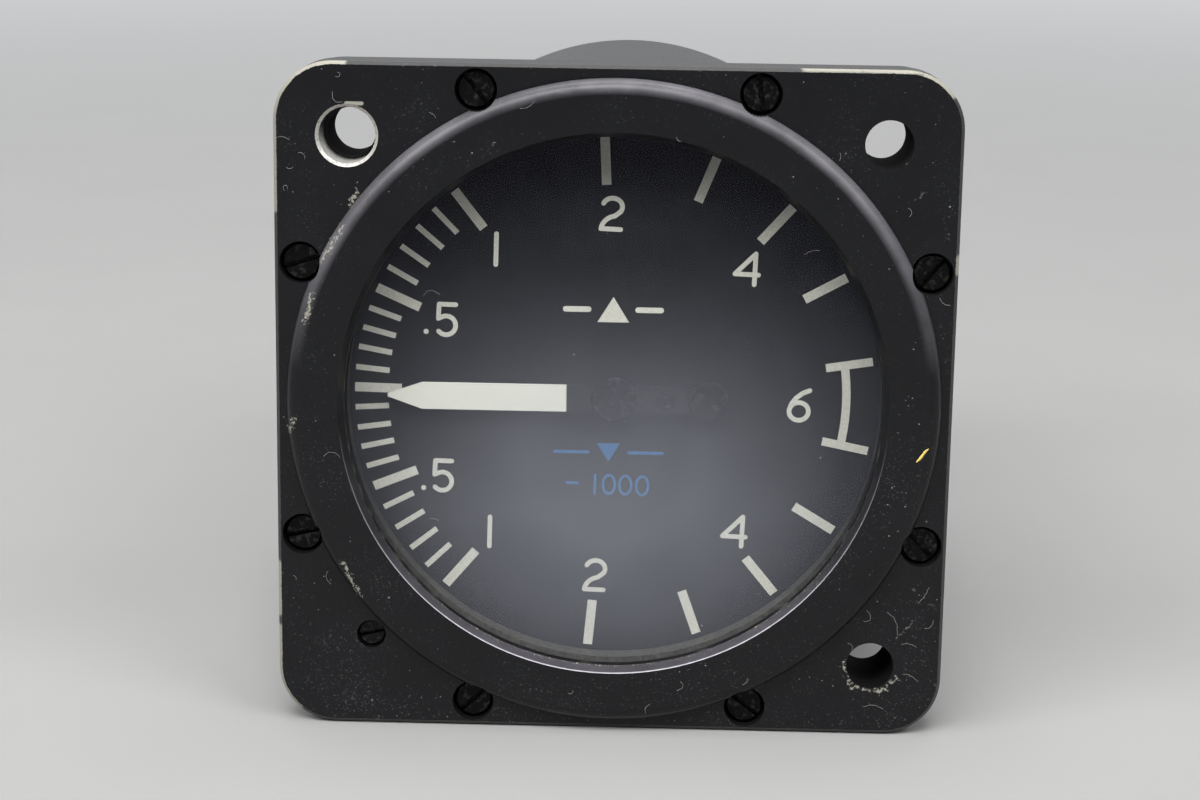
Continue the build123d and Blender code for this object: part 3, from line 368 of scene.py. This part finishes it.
# Plate glass, bloomed against reflections, with a dusty film on it that is partly a painted glare: clear and
# sharp at the top, and greyer and bluer lower down. Lamps reach the dial through it.
def plate_glass_film_and_painted_glare():
    material, tree = blank("plate_glass_film_and_painted_glare")
    film_and_glare = film_and_painted_glare(tree, place(tree))
    pane = add(tree, "BsdfPrincipled", {"Base Color": linear("#fcfdfb"), "Roughness": 0.02, "IOR": 1.52,
                                        "Specular Tint": linear("#5c5a68"), "Transmission Weight": 1.0})
    # the film's pale layer: partly dust, partly a painted glare
    dust = add(tree, "BsdfDiffuse", {"Color": linear("#b8bbc6"), "Roughness": 1.0})
    hazed = add(tree, "MixShader", {0: film_and_glare, 1: pane.outputs[0], 2: dust.outputs[0]}).outputs[0]
    clear = add(tree, "BsdfTransparent", {"Color": linear("#f4f4f2")}).outputs[0]
    paths = add(tree, "LightPath").outputs
    inside = add(tree, "MixShader", {0: paths["Is Diffuse Ray"], 1: hazed, 2: clear}).outputs[0]
    show(tree, add(tree, "MixShader", {0: paths["Is Shadow Ray"], 1: inside, 2: clear}))
    return material


# Flat black dial lacquer on sheet: very matt, and faintly mottled
def dial_lacquer():
    material, tree = blank("dial_lacquer")
    point = place(tree)
    mottle_size_mm, grain_mm = 2.4, 0.3
    colour = between(tree, clouds(tree, point, mottle_size_mm, 5.0), "#17181b", "#232529")
    rough = ramp(tree, clouds(tree, point, grain_mm, 2.0), 0.0, 1.0, 0.7, 0.85)
    show(tree, add(tree, "BsdfPrincipled", {"Base Color": colour, "Roughness": rough,
                                            "Specular IOR Level": 0.12}))
    return material


# Screen-printed dial ink: thick, chalky, slightly grained where the mesh left it
def printed_ink(name, tone, pale):
    material, tree = blank(name)
    mesh_mm = 0.2
    grain = clouds(tree, place(tree), mesh_mm, 3.0, 0.7)
    colour = between(tree, ramp(tree, grain, 0.35, 0.65), tone, pale)
    ink = add(tree, "BsdfPrincipled", {"Base Color": colour, "Roughness": 0.72})
    show(tree, ink, relief(tree, grain, 0.2, 0.01))
    return material


# Pointer: matt cream-white paint on the outer part of the blade, flat black from there to the tail
WHITE_ENDS_X = -4.3


def pointer_lacquer():
    material, tree = blank("pointer_lacquer")
    point = place(tree)
    brush_mm = 0.3
    grain = clouds(tree, point, brush_mm, 3.0)
    white = between(tree, grain, "#e0e0da", "#ecece6")
    black = between(tree, grain, "#0d0e10", "#16171a")
    inner = ramp(tree, coordinate(tree, point, "X"), WHITE_ENDS_X - 0.05, WHITE_ENDS_X + 0.05)
    colour = between(tree, inner, white, black)
    lacquer = add(tree, "BsdfPrincipled", {"Base Color": colour, "Roughness": 0.6,
                                           "Specular IOR Level": 0.25})
    show(tree, lacquer, relief(tree, grain, 0.1, 0.01))
    return material


# Turned metal: rings left by the tool round the part's own axis, spaced wider than a real feed to show,
# over patches of tarnish. At scale 1 the wave texture lays its rings this far apart.
WAVE_REPEAT = 2 * math.pi / 20


def turned_metal(name, tone, shade, roughness):
    material, tree = blank(name)
    point = place(tree)
    ring_mm, tarnish_mm = 0.234, 1.8
    squashed = vector(tree, "MULTIPLY", point, (1, 0.35, 1))
    rings = add(tree, "TexWave", {"Vector": squashed, "Scale": WAVE_REPEAT / ring_mm, "Distortion": 0.6,
                                  "Detail": 2.0}, wave_type="RINGS", rings_direction="Y").outputs[0]
    tarnish = clouds(tree, point, tarnish_mm, 4.0)
    colour = between(tree, tarnish, tone, shade)
    rough = ramp(tree, tarnish, 0.0, 1.0, roughness - 0.08, roughness + 0.1)
    metal = add(tree, "BsdfPrincipled", {"Base Color": colour, "Metallic": 1.0, "Roughness": rough})
    show(tree, metal, relief(tree, rings, 0.12, 0.01))
    return material


# Moulded nitrile rubber: dull black, with a bloom of pale dust
def moulded_rubber():
    material, tree = blank("moulded_nitrile_rubber")
    bloom_mm = 1.2
    bloom = clouds(tree, place(tree), bloom_mm, 5.0)
    colour = between(tree, bloom, "#161616", "#2b2b2a")
    rubber = add(tree, "BsdfPrincipled", {"Base Color": colour, "Roughness": 0.8})
    show(tree, rubber, relief(tree, bloom, 0.2, 0.03))
    return material


# Black anodised aluminium of the ring under the glass: dull dark grey, and paler along its lower inside
def anodised_paler_below():
    material, tree = blank("anodised_aluminium_paler_below")
    point = place(tree)
    fluff_mm = 0.5
    fluff = clouds(tree, point, fluff_mm, 5.0, 0.75)
    lower = ramp(tree, coordinate(tree, point, "Z"), 0.0, -18.0)
    # the colour goes paler towards the bottom of the ring's inside
    dust = ramp(tree, join(tree, "MULTIPLY", fluff, lower), 0.25, 0.8, 0.0, 0.6)
    colour = between(tree, dust, "#1b1b1d", "#7d7a72")
    ring = add(tree, "BsdfPrincipled", {"Base Color": colour, "Roughness": 0.55})
    show(tree, ring, relief(tree, fluff, 0.3, 0.03))
    return material


# Synthetic ruby of the bearings: deep red, polished, with faint growth bands
def polished_ruby():
    material, tree = blank("polished_ruby")
    band_mm = 0.4
    colour = between(tree, clouds(tree, place(tree), band_mm, 2.0), "#8c0f24", "#b01c38")
    show(tree, add(tree, "BsdfPrincipled", {"Base Color": colour, "Roughness": 0.08, "IOR": 1.76}))
    return material


# Sintered bronze filter: pressed beads that sparkle brown
def sintered_bronze():
    material, tree = blank("sintered_bronze")
    bead_mm = 0.3
    beads = add(tree, "TexVoronoi", {"Vector": place(tree), "Scale": 1 / bead_mm}).outputs["Distance"]
    colour = between(tree, beads, "#b08a56", "#4f3a22")
    bronze = add(tree, "BsdfPrincipled", {"Base Color": colour, "Metallic": 0.9, "Roughness": 0.5})
    show(tree, bronze, relief(tree, beads, 0.8, 0.08, invert=True))
    return material


# Lint and dust: soft and matt, with paler tufts
def loose_lint(name, tone, pale):
    material, tree = blank(name)
    tuft_mm = 0.25
    colour = between(tree, clouds(tree, place(tree), tuft_mm, 3.0), tone, pale)
    show(tree, add(tree, "BsdfPrincipled", {"Base Color": colour, "Roughness": 0.95}))
    return material


BORE_BLACK = thin_primer()
ENAMEL_WORN_AND_HIGHLIT = sprayed_black_enamel("sprayed_black_enamel_worn_and_highlit", True)
ENAMEL = sprayed_black_enamel("sprayed_black_enamel", False)
BARE_METAL = bared_aluminium()
WINDOW_EDGE = chamfer_enamel_painted_highlight()
# the screws' brighter worn spots are also painted glints
SCREW_STEEL = blackened_metal("blackened_steel_screws", "#060606", "#454240")
ZERO_STEEL = blackened_metal("blackened_steel_adjuster", "#131314", "#4a4846")
GLASS = plate_glass_film_and_painted_glare()
LACQUER = dial_lacquer()
WHITE_INK = printed_ink("printed_ink_white", "#c9c8c1", "#dcdbd4")
BLUE_INK = printed_ink("printed_ink_blue", "#12558f", "#1f69a2")
POINTER_LACQUER = pointer_lacquer()
TAIL_BLACK = blackened_metal("flat_black_lacquer_on_brass", "#141517", "#3e3f43")
RUBBER = moulded_rubber()
SPACER_FINISH = anodised_paler_below()
BRASS = turned_metal("turned_brass", "#d9b25f", "#b78a3e", 0.3)
STEEL = turned_metal("ground_steel", "#c4c4c2", "#a2a2a0", 0.26)
SPRING_BRONZE = turned_metal("rolled_phosphor_bronze", "#c58f4e", "#a06d35", 0.32)
CAPSULE_BRONZE = turned_metal("pressed_beryllium_bronze", "#d0a35c", "#a97c3d", 0.3)
COPPER = turned_metal("drawn_copper", "#c97a52", "#a35a38", 0.34)
RUBY = polished_ruby()
FILTER_BRONZE = sintered_bronze()
PALE_LINT = loose_lint("pale_lint", "#636266", "#92918f")
STRAW_LINT = loose_lint("straw_fleck", "#d9b447", "#f3dc8a")

FINISHES = {
    "bezel": ENAMEL_WORN_AND_HIGHLIT, "case": ENAMEL, "case_flange": ENAMEL, "case_back": ENAMEL,
    "bezel_screws": SCREW_STEEL, "zero_screw": ZERO_STEEL,
    "case_seal": RUBBER, "zero_screw_seal": RUBBER, "window_gasket": RUBBER,
    "window_glass": GLASS, "spacer_ring": SPACER_FINISH, "dial": LACQUER, "dial_marks": WHITE_INK,
    "pointer": POINTER_LACQUER, "pointer_hub": TAIL_BLACK, "pointer_weight": TAIL_BLACK,
    "pointer_rivet": TAIL_BLACK, "handstaff": STEEL, "rocking_shaft": STEEL, "zero_shaft": STEEL,
    "stop_pins": STEEL, "frame_screws": STEEL, "pillar_screws": STEEL, "manifold_screws": STEEL,
    "hairspring": SPRING_BRONZE, "capsule": CAPSULE_BRONZE, "restrictor_filter": FILTER_BRONZE,
    "capsule_line": COPPER, "pivot_jewels": RUBY,
}


# Every part gets its finish. What is not listed is movement brass.
def finish_parts():
    for name, part in NODES.items():
        part.data.materials.clear()
        part.data.materials.append(FINISHES.get(name, BRASS))


# Gives a second finish to the faces of a part whose centre and normal pass the test
def finish_faces(name, material, chosen):
    mesh = NODES[name].data
    mesh.materials.append(material)
    slot = len(mesh.materials) - 1
    for face in mesh.polygons:
        if chosen(face.center / MM, face.normal):
            face.material_index = slot


# The worn hole's bore and chamfer, but not the flange's flat face round it
def in_worn_hole(centre, normal):
    away = math.hypot(centre.x + SCREW_HOLE, centre.z - SCREW_HOLE)
    return away < WORN_HOLE_RADIUS + WORN_RIM and abs(normal.y) < 0.97


# Walls of the panel's screw holes and of the wells of the bezel's screws, each well x, z and radius
WELLS = [(x, z, HOLE_RADIUS) for x, z in PANEL_HOLES]
WELLS += [(x * i, z * j, WELL_RADIUS) for x, z in SCREW_PLACES for i in (-1, 1) for j in (-1, 1)]


def in_well(centre, normal):
    wall = centre.y > FLANGE_FRONT + 0.3 and abs(normal.y) < 0.5
    return wall and any(math.hypot(centre.x - x, centre.z - z) < r + 0.15 for x, z, r in WELLS)


def on_staff_tip(centre, _normal):
    return centre.y < DIAL_FRONT


def on_window_chamfer(centre, normal):
    away = math.hypot(centre.x, centre.z) - WINDOW_RADIUS
    return -0.1 < away < 0.6 and centre.y < RING_FRONT + 1.3 and -0.97 < normal.y < -0.05


# Turns a collected shape into one named piece of one material
def piece_of(name, shape, material):
    mesh = bpy.data.meshes.new(name)
    shape.to_mesh(mesh)
    shape.free()
    mesh.materials.append(material)
    piece = bpy.data.objects.new(name, mesh)
    bpy.context.scene.collection.objects.link(piece)
    return piece


# Points of an elliptical arc, in millimetres, from one angle in degrees to another
def arc(centre, radii, start, end, steps=14):
    turns = [math.radians(start + (end - start) * i / steps) for i in range(steps + 1)]
    return [(centre[0] + radii[0] * math.cos(t), centre[1] + radii[1] * math.sin(t)) for t in turns]


# Numerals of an instrument dial as pen strokes, each in a box 2 high and centred on nothing
STROKES = {
    "0": [arc((0, 0), (0.63, 1), 90, 450, 32)],
    "1": [[(0, 1), (0, -1)]],
    "2": [arc((0.06, 0.44), (0.63, 0.55), 158, -34, 18) + arc((0.4, -1.1), (1.05, 0.95), 100, 172, 8),
          [(-0.65, -1), (0.62, -1.02)]],
    "4": [[(0.56, 1), (-0.74, -0.34)], [(-0.74, -0.34), (0.78, -0.37)], [(0.56, 1), (0.53, -1)]],
    "5": [[(0.56, 1), (-0.52, 1)], [(-0.52, 1), (-0.55, 0.06)],
          [(-0.55, 0.06)] + arc((-0.04, -0.38), (0.62, 0.62), 108, -140, 20)],
    "6": [[(0.66, 1), (0.2, 0.8), (-0.22, 0.46), (-0.5, 0.06), (-0.63, -0.36)],
          arc((0, -0.41), (0.63, 0.59), 180, 540, 30)],
}
PEN_END_STEPS = 6
INK_THICK = 0.05
# each stroke of a numeral lies this much in front of the last, so that they cross cleanly
STROKE_STEP = 0.006


# A flat line of ink of the given width along the points, with rounded ends, as high as the level
def ink_strip(shape, points, width, level):
    half, front = width / 2, (DIAL_FRONT - level) * MM
    line = [Vector((x, 0, z)) for x, z in points]
    closed = (line[0] - line[-1]).length < 1e-6
    if closed:
        line = line[:-1]
    count = len(line)
    left, right = [], []
    for i, here in enumerate(line):
        before = line[i - 1] if (i or closed) else None
        after = line[(i + 1) % count] if (i < count - 1 or closed) else None
        into = (here - before).normalized() if before is not None else (after - here).normalized()
        out = (after - here).normalized() if after is not None else into
        mitre = (into + out).normalized()
        side = Vector((-mitre.z, 0, mitre.x))
        stretch = half / max(0.45, side.dot(Vector((-into.z, 0, into.x))))
        left.append(here + side * stretch)
        right.append(here - side * stretch)
    rows = [[shape.verts.new((p.x * MM, front, p.z * MM)) for p in row] for row in (left, right)]
    for i in range(count if closed else count - 1):
        j = (i + 1) % count
        shape.faces.new((rows[0][i], rows[1][i], rows[1][j], rows[0][j]))
    if closed:
        return
    for end, inner in ((0, 1), (-1, -2)):
        middle, away = line[end], (line[end] - line[inner]).normalized()
        across = (left[end] - middle).normalized()
        if end == 0:
            across = -across
        cap = [rows[0][end] if end else rows[1][end]]
        for k in range(1, PEN_END_STEPS):
            turn = math.pi * k / PEN_END_STEPS
            p = middle + across * half * math.cos(turn) + away * half * math.sin(turn)
            cap.append(shape.verts.new((p.x * MM, front, p.z * MM)))
        cap.append(rows[1][end] if end else rows[0][end])
        shape.faces.new(cap)


# Turns the collected ink into one piece that rides on the instrument
def ink_piece(name, shape, material):
    bmesh.ops.recalc_face_normals(shape, faces=shape.faces)
    for face in shape.faces:
        if face.normal.y > 0:
            face.normal_flip()
    piece = piece_of(name, shape, material)
    sides = piece.modifiers.new("ink_edge", "SOLIDIFY")
    sides.thickness, sides.offset = 0.8 * INK_THICK * MM, -1
    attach(piece, "instrument")


# Dial print, each numeral at the x and z of its middle. The numerals lean a little, as in the photograph.
PRINT_TURN = math.radians(-1.1)
NUMERAL_HEIGHT = 3.2
NUMERAL_PEN = 0.42
NUMERALS = [("5", -15.21, 6.8), ("1", -10.8, 13.3), ("2", -0.51, 16.71), ("4", 11.67, 11.93),
            ("6", 16.74, -0.45), ("4", 11.15, -12.38), ("2", -1.55, -16.8), ("1", -11.23, -12.88),
            ("5", -15.53, -7.69)]
POINTS = [(-17.09, 5.68), (-17.3, -8.86)]
POINT_RADIUS = 0.23
RATE_HEIGHT = 1.98
RATE_PEN = 0.24
RATE_DIGITS = [("1", -1.64, -8.22), ("0", -0.36, -8.2), ("0", 1.14, -8.24), ("0", 2.68, -8.28)]
RATE_DASH = [(-4.2, -8.1), (-3.2, -8.12)]


def numeral(shape, sign, x, z, height, pen):
    half = (height - pen) / 2
    cosine, sine = math.cos(PRINT_TURN), math.sin(PRINT_TURN)
    for i, stroke in enumerate(STROKES[sign]):
        sized = [(u * half, v * half) for u, v in stroke]
        points = [(x + u * cosine - v * sine, z + u * sine + v * cosine) for u, v in sized]
        ink_strip(shape, points, pen, INK_THICK + STROKE_STEP * i)


# A flat patch of ink with the given corners
def ink_patch(shape, corners):
    front = (DIAL_FRONT - INK_THICK) * MM
    shape.faces.new([shape.verts.new((u * MM, front, v * MM)) for u, v in corners])


def dial_numerals():
    shape = bmesh.new()
    for sign, x, z in NUMERALS:
        numeral(shape, sign, x, z, NUMERAL_HEIGHT, NUMERAL_PEN)
    for point in POINTS:
        ink_patch(shape, arc(point, (POINT_RADIUS, POINT_RADIUS), 0, 345, 23))
    ink_piece("dial_numerals", shape, WHITE_INK)


def rate_number():
    shape = bmesh.new()
    for sign, x, z in RATE_DIGITS:
        numeral(shape, sign, x, z, RATE_HEIGHT, RATE_PEN)
    ink_strip(shape, RATE_DASH, RATE_PEN, INK_THICK)
    ink_piece("dial_rate_number", shape, BLUE_INK)


# A plain arrowhead between two bars: up for climb in white, down for descent in blue
def direction_mark(name, centre, length, height, pen, points_up, material):
    shape = bmesh.new()
    x, z = centre
    reach, up = height * 0.62, height / 2 * (1 if points_up else -1)
    ink_patch(shape, [(x - reach, z - up), (x + reach, z - up), (x, z + up)])
    gap = reach + 0.8
    for side in (-1, 1):
        ink_strip(shape, [(x + side * gap, z), (x + side * length / 2, z)], pen, INK_THICK)
    ink_piece(name, shape, material)


# Lint: fine curled fibres, each given as x, z, the face it lies on, its size and how far it curls
FIBRES = [
    (-28.9, 23.6, "flange", 1.3, 2.0), (-27.6, 22.2, "flange", 1.0, -2.6), (-28.9, 20.6, "flange", 0.7, 2.2),
    (-26.0, -16.1, "flange", 1.5, 1.5), (-28.4, -16.6, "flange", 0.6, 2.4), (-24.3, -4.3, "ring", 1.9, 2.2),
    (26.3, -19.9, "flange", 2.6, 1.6), (28.3, -17.3, "flange", 1.8, 0.5), (27.6, -21.4, "flange", 1.5, 1.2),
    (24.6, -27.3, "flange", 2.0, 1.1), (12.4, -25.3, "ring", 0.9, 1.8), (6.6, -26.1, "ring", 1.3, 2.6),
    (3.4, -27.4, "ring", 1.1, 2.2), (28.6, 9.9, "flange", 1.3, 1.2), (25.9, 17.6, "flange", 1.0, 2.2),
    (-15.9, 10.1, "glass", 1.9, 2.0), (17.5, 14.4, "glass", 1.5, 1.3), (-15.8, -10.9, "glass", 0.9, 1.6),
    (5.1, 24.0, "ring", 0.6, 1.3), (19.4, 22.6, "ring", 0.7, 1.0), (27.9, -24.6, "flange", 1.7, 1.9),
    (-24.4, 28.6, "flange", 0.9, 3.2), (-25.1, 27.0, "flange", 1.6, 2.4), (-15.9, 25.6, "flange", 0.8, 1.4),
    (-28.6, 19.0, "flange", 1.1, 4.4), (-8.0, 26.3, "ring", 1.5, 1.2), (-10.6, 23.6, "ring", 0.6, 3.0),
    (23.5, -19.7, "flange", 1.7, 2.8), (28.9, -20.2, "flange", 1.3, 2.0), (22.2, -22.0, "flange", 1.0, 2.6),
    (-3.5, -26.6, "ring", 0.7, 2.2),
]
FIBRE_RADIUS = 0.022
FIBRE_LIFT = 0.10
FIBRE_STEPS = 10


def lint_fibres():
    dice = random.Random(7)
    line = bpy.data.curves.new("lint_fibres", "CURVE")
    line.dimensions, line.resolution_u = "3D", 6
    line.bevel_depth, line.bevel_resolution = FIBRE_RADIUS * MM, 1
    last = FIBRE_STEPS - 1
    for x, z, face, size, curl in FIBRES:
        front = FACE_FRONTS[face] - 1.1 * FIBRE_RADIUS
        heading = dice.uniform(0, 2 * math.pi)
        here = Vector((x, front, z)) - Vector((math.cos(heading), 0, math.sin(heading))) * size / 3
        spline = line.splines.new("NURBS")
        spline.points.add(last)
        for i, point in enumerate(spline.points):
            lift = FIBRE_LIFT * math.sin(math.pi * i / last) * dice.random()
            point.co = (here.x * MM, (here.y - lift) * MM, here.z * MM, 1)
            heading += curl / last * dice.uniform(0.3, 1.7) + 0.6 * math.sin(2.3 * i)
            here += Vector((math.cos(heading), 0, math.sin(heading))) * size / last
        spline.order_u, spline.use_endpoint_u = 3, True
    line.materials.append(PALE_LINT)
    piece = bpy.data.objects.new("lint_fibres", line)
    bpy.context.scene.collection.objects.link(piece)
    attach(piece, "instrument")


# Small torn flakes of dust on a face, thicker towards the lower right as in the photograph
FLAKE_SIDES = 7


def dust_flakes(name, count, seed, face, allowed, material):
    dice = random.Random(seed)
    shape = bmesh.new()
    front = FACE_FRONTS[face] - 0.015
    made = 0
    while made < count:
        x, z = dice.uniform(-HALF_FLANGE, HALF_FLANGE), dice.uniform(-HALF_FLANGE, HALF_FLANGE)
        if not allowed(x, z) or dice.random() > 0.35 + 0.65 * (x - z + 60) / 120:
            continue
        size = 0.04 + 0.08 * dice.random() ** 2
        ring = []
        for i in range(FLAKE_SIDES):
            turn, reach = 2 * math.pi * i / FLAKE_SIDES, size * dice.uniform(0.4, 1.0)
            ring.append(shape.verts.new(((x + reach * math.cos(turn)) * MM, front * MM,
                                         (z + reach * math.sin(turn)) * MM)))
        top = shape.verts.new((x * MM, (front - 0.5 * size) * MM, z * MM))
        for i in range(FLAKE_SIDES):
            shape.faces.new((ring[i], ring[(i + 1) % FLAKE_SIDES], top))
        made += 1
    bmesh.ops.recalc_face_normals(shape, faces=shape.faces)
    piece = piece_of(name, shape, material)
    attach(piece, "instrument")


# Where flakes may lie: clear of the holes and screws, and of the edges of each face
FLAKE_STRAIGHT = 24.6
FLAKE_CORNER = 5.0


def clear_of_holes(x, z):
    if any(math.hypot(x - a, z - b) < HOLE_RADIUS + 0.9 for a, b in PANEL_HOLES + [ZERO_SCREW]):
        return False
    return all(math.hypot(abs(x) - a, abs(z) - b) > WELL_RADIUS + 0.35 for a, b in SCREW_PLACES)


def on_flange(x, z):
    over = math.hypot(max(abs(x) - FLAKE_STRAIGHT, 0), max(abs(z) - FLAKE_STRAIGHT, 0))
    return over < FLAKE_CORNER and math.hypot(x, z) > RING_RADIUS + 0.3 and clear_of_holes(x, z)


def on_ring(x, z):
    return WINDOW_RADIUS + 0.9 < math.hypot(x, z) < RING_RADIUS - 1.4


def on_glass(x, z):
    return math.hypot(x, z) < WINDOW_RADIUS - 0.5


# The one straw-yellow fleck on the ring's right side
FLECK_CENTRE = Vector((27.49, 0, -3.6))
FLECK_LENGTH = 1.65
FLECK_WIDTH = 0.3
FLECK_HEIGHT = 0.12
FLECK_TURN = math.radians(47)


def straw_fleck():
    shape = bmesh.new()
    steps, rows = 10, []
    along = Vector((math.cos(FLECK_TURN), 0, math.sin(FLECK_TURN)))
    across = Vector((-along.z, 0, along.x))
    dice = random.Random(3)
    for i in range(steps + 1):
        t = i / steps - 0.5
        half = FLECK_WIDTH / 2 * math.sqrt(max(0.02, 1 - (2 * t) ** 2)) * dice.uniform(0.75, 1.1)
        middle = FLECK_CENTRE + along * FLECK_LENGTH * t + across * 0.06 * math.sin(5 * t)
        row = []
        for side, lift in ((-1, 0.01), (0, FLECK_HEIGHT), (1, 0.01)):
            p = middle + across * side * half
            row.append(shape.verts.new((p.x * MM, (RING_FRONT - lift) * MM, p.z * MM)))
        rows.append(row)
    for a, b in zip(rows, rows[1:]):
        for k in (0, 1):
            shape.faces.new((a[k], b[k], b[k + 1], a[k + 1]))
    bmesh.ops.recalc_face_normals(shape, faces=shape.faces)
    piece = piece_of("straw_fleck", shape, STRAW_LINT)
    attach(piece, "instrument")


# Pale table top that the instrument leans back on: it touches the flange's lower edge and the case's end
TABLE_HALF = 4000
TABLE_GRID = 8


def table_top():
    front_touch = Vector((0, FLANGE_REAR, low_mm("bezel").z))
    rear_touch = Vector((0, CASE_END - CASE_END_ROUND, -CASE_RADIUS))
    rise = math.atan2(rear_touch.z - front_touch.z, rear_touch.y - front_touch.y)
    shape = bmesh.new()
    bmesh.ops.create_grid(shape, x_segments=TABLE_GRID, y_segments=TABLE_GRID, size=TABLE_HALF * MM)
    table = piece_of("table_top", shape, pale_table())
    table.matrix_world = Matrix.Translation(front_touch * MM) @ Matrix.Rotation(rise, 4, "X")


# Painted board: pale, quite matt, a trace of roller texture. Away from the instrument it passes into the
# even pale backdrop, for what the camera, metal and glass see.
def pale_table():
    material, tree = blank("painted_board")
    point = place(tree)
    nap_mm = 30.0
    pale = between(tree, clouds(tree, point, nap_mm, 4.0), "#9f9f9e", "#a5a5a4")
    seen = seen_rays(tree)
    colour = between(tree, seen, "#6a6a69", pale)
    board = add(tree, "BsdfPrincipled", {"Base Color": colour, "Roughness": 0.85}).outputs[0]
    away = measure(tree, "LENGTH", point)
    far = ramp(tree, away, 130.0, 900.0, interpolation_type="SMOOTHSTEP")
    backdrop = add(tree, "Emission", {"Color": linear(ROOM_TONE), "Strength": 1.0}).outputs[0]
    show(tree, add(tree, "MixShader", {0: join(tree, "MULTIPLY", far, seen), 1: board, 2: backdrop}))
    return material


# 1 for what the camera sees straight, in a reflection or through glass
def seen_rays(tree):
    paths = add(tree, "LightPath").outputs
    seen = join(tree, "MAXIMUM", paths["Is Camera Ray"], paths["Is Glossy Ray"])
    return join(tree, "MAXIMUM", seen, paths["Is Transmission Ray"])


# Three soft panels high in front, left, middle and right, a fourth straight above that only skims the
# front, and an even pale room whose reflection is dimmer in front of the instrument
FRONT_PLACE = (-0.08, -0.84, 1.05)
FRONT_SIZE = (0.7, 0.6)
FRONT_WATTS = 13.0
WING_PLACE = (0.8, -0.7, 0.84)
WING_SIZE = (0.7, 0.7)
LEFT_WATTS = 11.5
RIGHT_WATTS = 9.2
TOP_PLACE = (0.0, 0.12, 1.35)
TOP_SIZE = (0.9, 0.6)
TOP_WATTS = 8.0
ROOM_TONE = "#d3d4d6"
DIM_TONE = "#5a5b5e"
ROOM_LIGHT = "#f2f4f8"
ROOM_LEVEL = 0.12


def lamp(name, where, size, watts):
    light = bpy.data.lights.new(name, "AREA")
    light.shape, light.size, light.size_y, light.energy = "RECTANGLE", size[0], size[1], watts
    holder = bpy.data.objects.new(name, light)
    holder.location = where
    holder.rotation_euler = (-Vector(where)).to_track_quat("-Z", "Y").to_euler()
    bpy.context.scene.collection.objects.link(holder)


def studio_lamps():
    x, y, z = WING_PLACE
    lamp("front_panel", FRONT_PLACE, FRONT_SIZE, FRONT_WATTS)
    lamp("left_panel", (-x, y, z), WING_SIZE, LEFT_WATTS)
    lamp("right_panel", (x, y, z), WING_SIZE, RIGHT_WATTS)
    lamp("top_panel", TOP_PLACE, TOP_SIZE, TOP_WATTS)


def pale_room():
    room = bpy.data.worlds.new("pale_room")
    room.use_nodes = True
    tree = room.node_tree
    tree.nodes.clear()
    light = add(tree, "Background", {"Color": linear(ROOM_LIGHT), "Strength": ROOM_LEVEL}).outputs[0]
    ahead = add(tree, "SeparateXYZ", {0: add(tree, "TexCoord").outputs["Generated"]}).outputs["Y"]
    straight = add(tree, "LightPath").outputs["Is Camera Ray"]
    bright = join(tree, "MAXIMUM", ramp(tree, ahead, -0.6, 0.3), straight)
    tone = between(tree, bright, DIM_TONE, ROOM_TONE)
    seen = add(tree, "Background", {"Color": tone, "Strength": 1.0}).outputs[0]
    mixed = add(tree, "MixShader", {0: seen_rays(tree), 1: light, 2: seen}).outputs[0]
    add(tree, "OutputWorld", {"Surface": mixed})
    bpy.context.scene.world = room


# Camera solved from the photograph's flange, holes and ring
CAMERA_PLACE_MM = (3.91, -226.98, 47.46)
CAMERA_TURN_DEG = (77.853, -0.854, 1.524)
CAMERA_LENS_MM = 75.15
SENSOR_MM = 36.0


def photographs_camera():
    lens = bpy.data.cameras.new("camera")
    lens.lens, lens.sensor_width, lens.sensor_fit = CAMERA_LENS_MM, SENSOR_MM, "HORIZONTAL"
    lens.clip_start, lens.clip_end = 0.01, 20.0
    camera = bpy.data.objects.new("camera", lens)
    camera.location = Vector(CAMERA_PLACE_MM) * MM
    camera.rotation_euler = [math.radians(a) for a in CAMERA_TURN_DEG]
    bpy.context.scene.collection.objects.link(camera)
    bpy.context.scene.camera = camera


finish_parts()
finish_faces("bezel", BORE_BLACK, in_well)
finish_faces("case_flange", BORE_BLACK, in_well)
finish_faces("bezel", BARE_METAL, in_worn_hole)
finish_faces("handstaff", TAIL_BLACK, on_staff_tip)
finish_faces("bezel", WINDOW_EDGE, on_window_chamfer)
dial_numerals()
rate_number()
direction_mark("dial_climb_mark", (-0.2, 8.0), 8.6, 2.3, 0.5, True, WHITE_INK)
direction_mark("dial_descent_mark", (-0.45, -5.2), 9.8, 1.7, 0.3, False, BLUE_INK)
lint_fibres()
dust_flakes("dust_on_flange", 70, 11, "flange", on_flange, PALE_LINT)
dust_flakes("dust_on_ring", 60, 12, "ring", on_ring, PALE_LINT)
dust_flakes("dust_on_glass", 14, 13, "glass", on_glass, PALE_LINT)
straw_fleck()
table_top()
studio_lamps()
pale_room()
photographs_camera()
bpy.context.scene.view_settings.view_transform = "Standard"
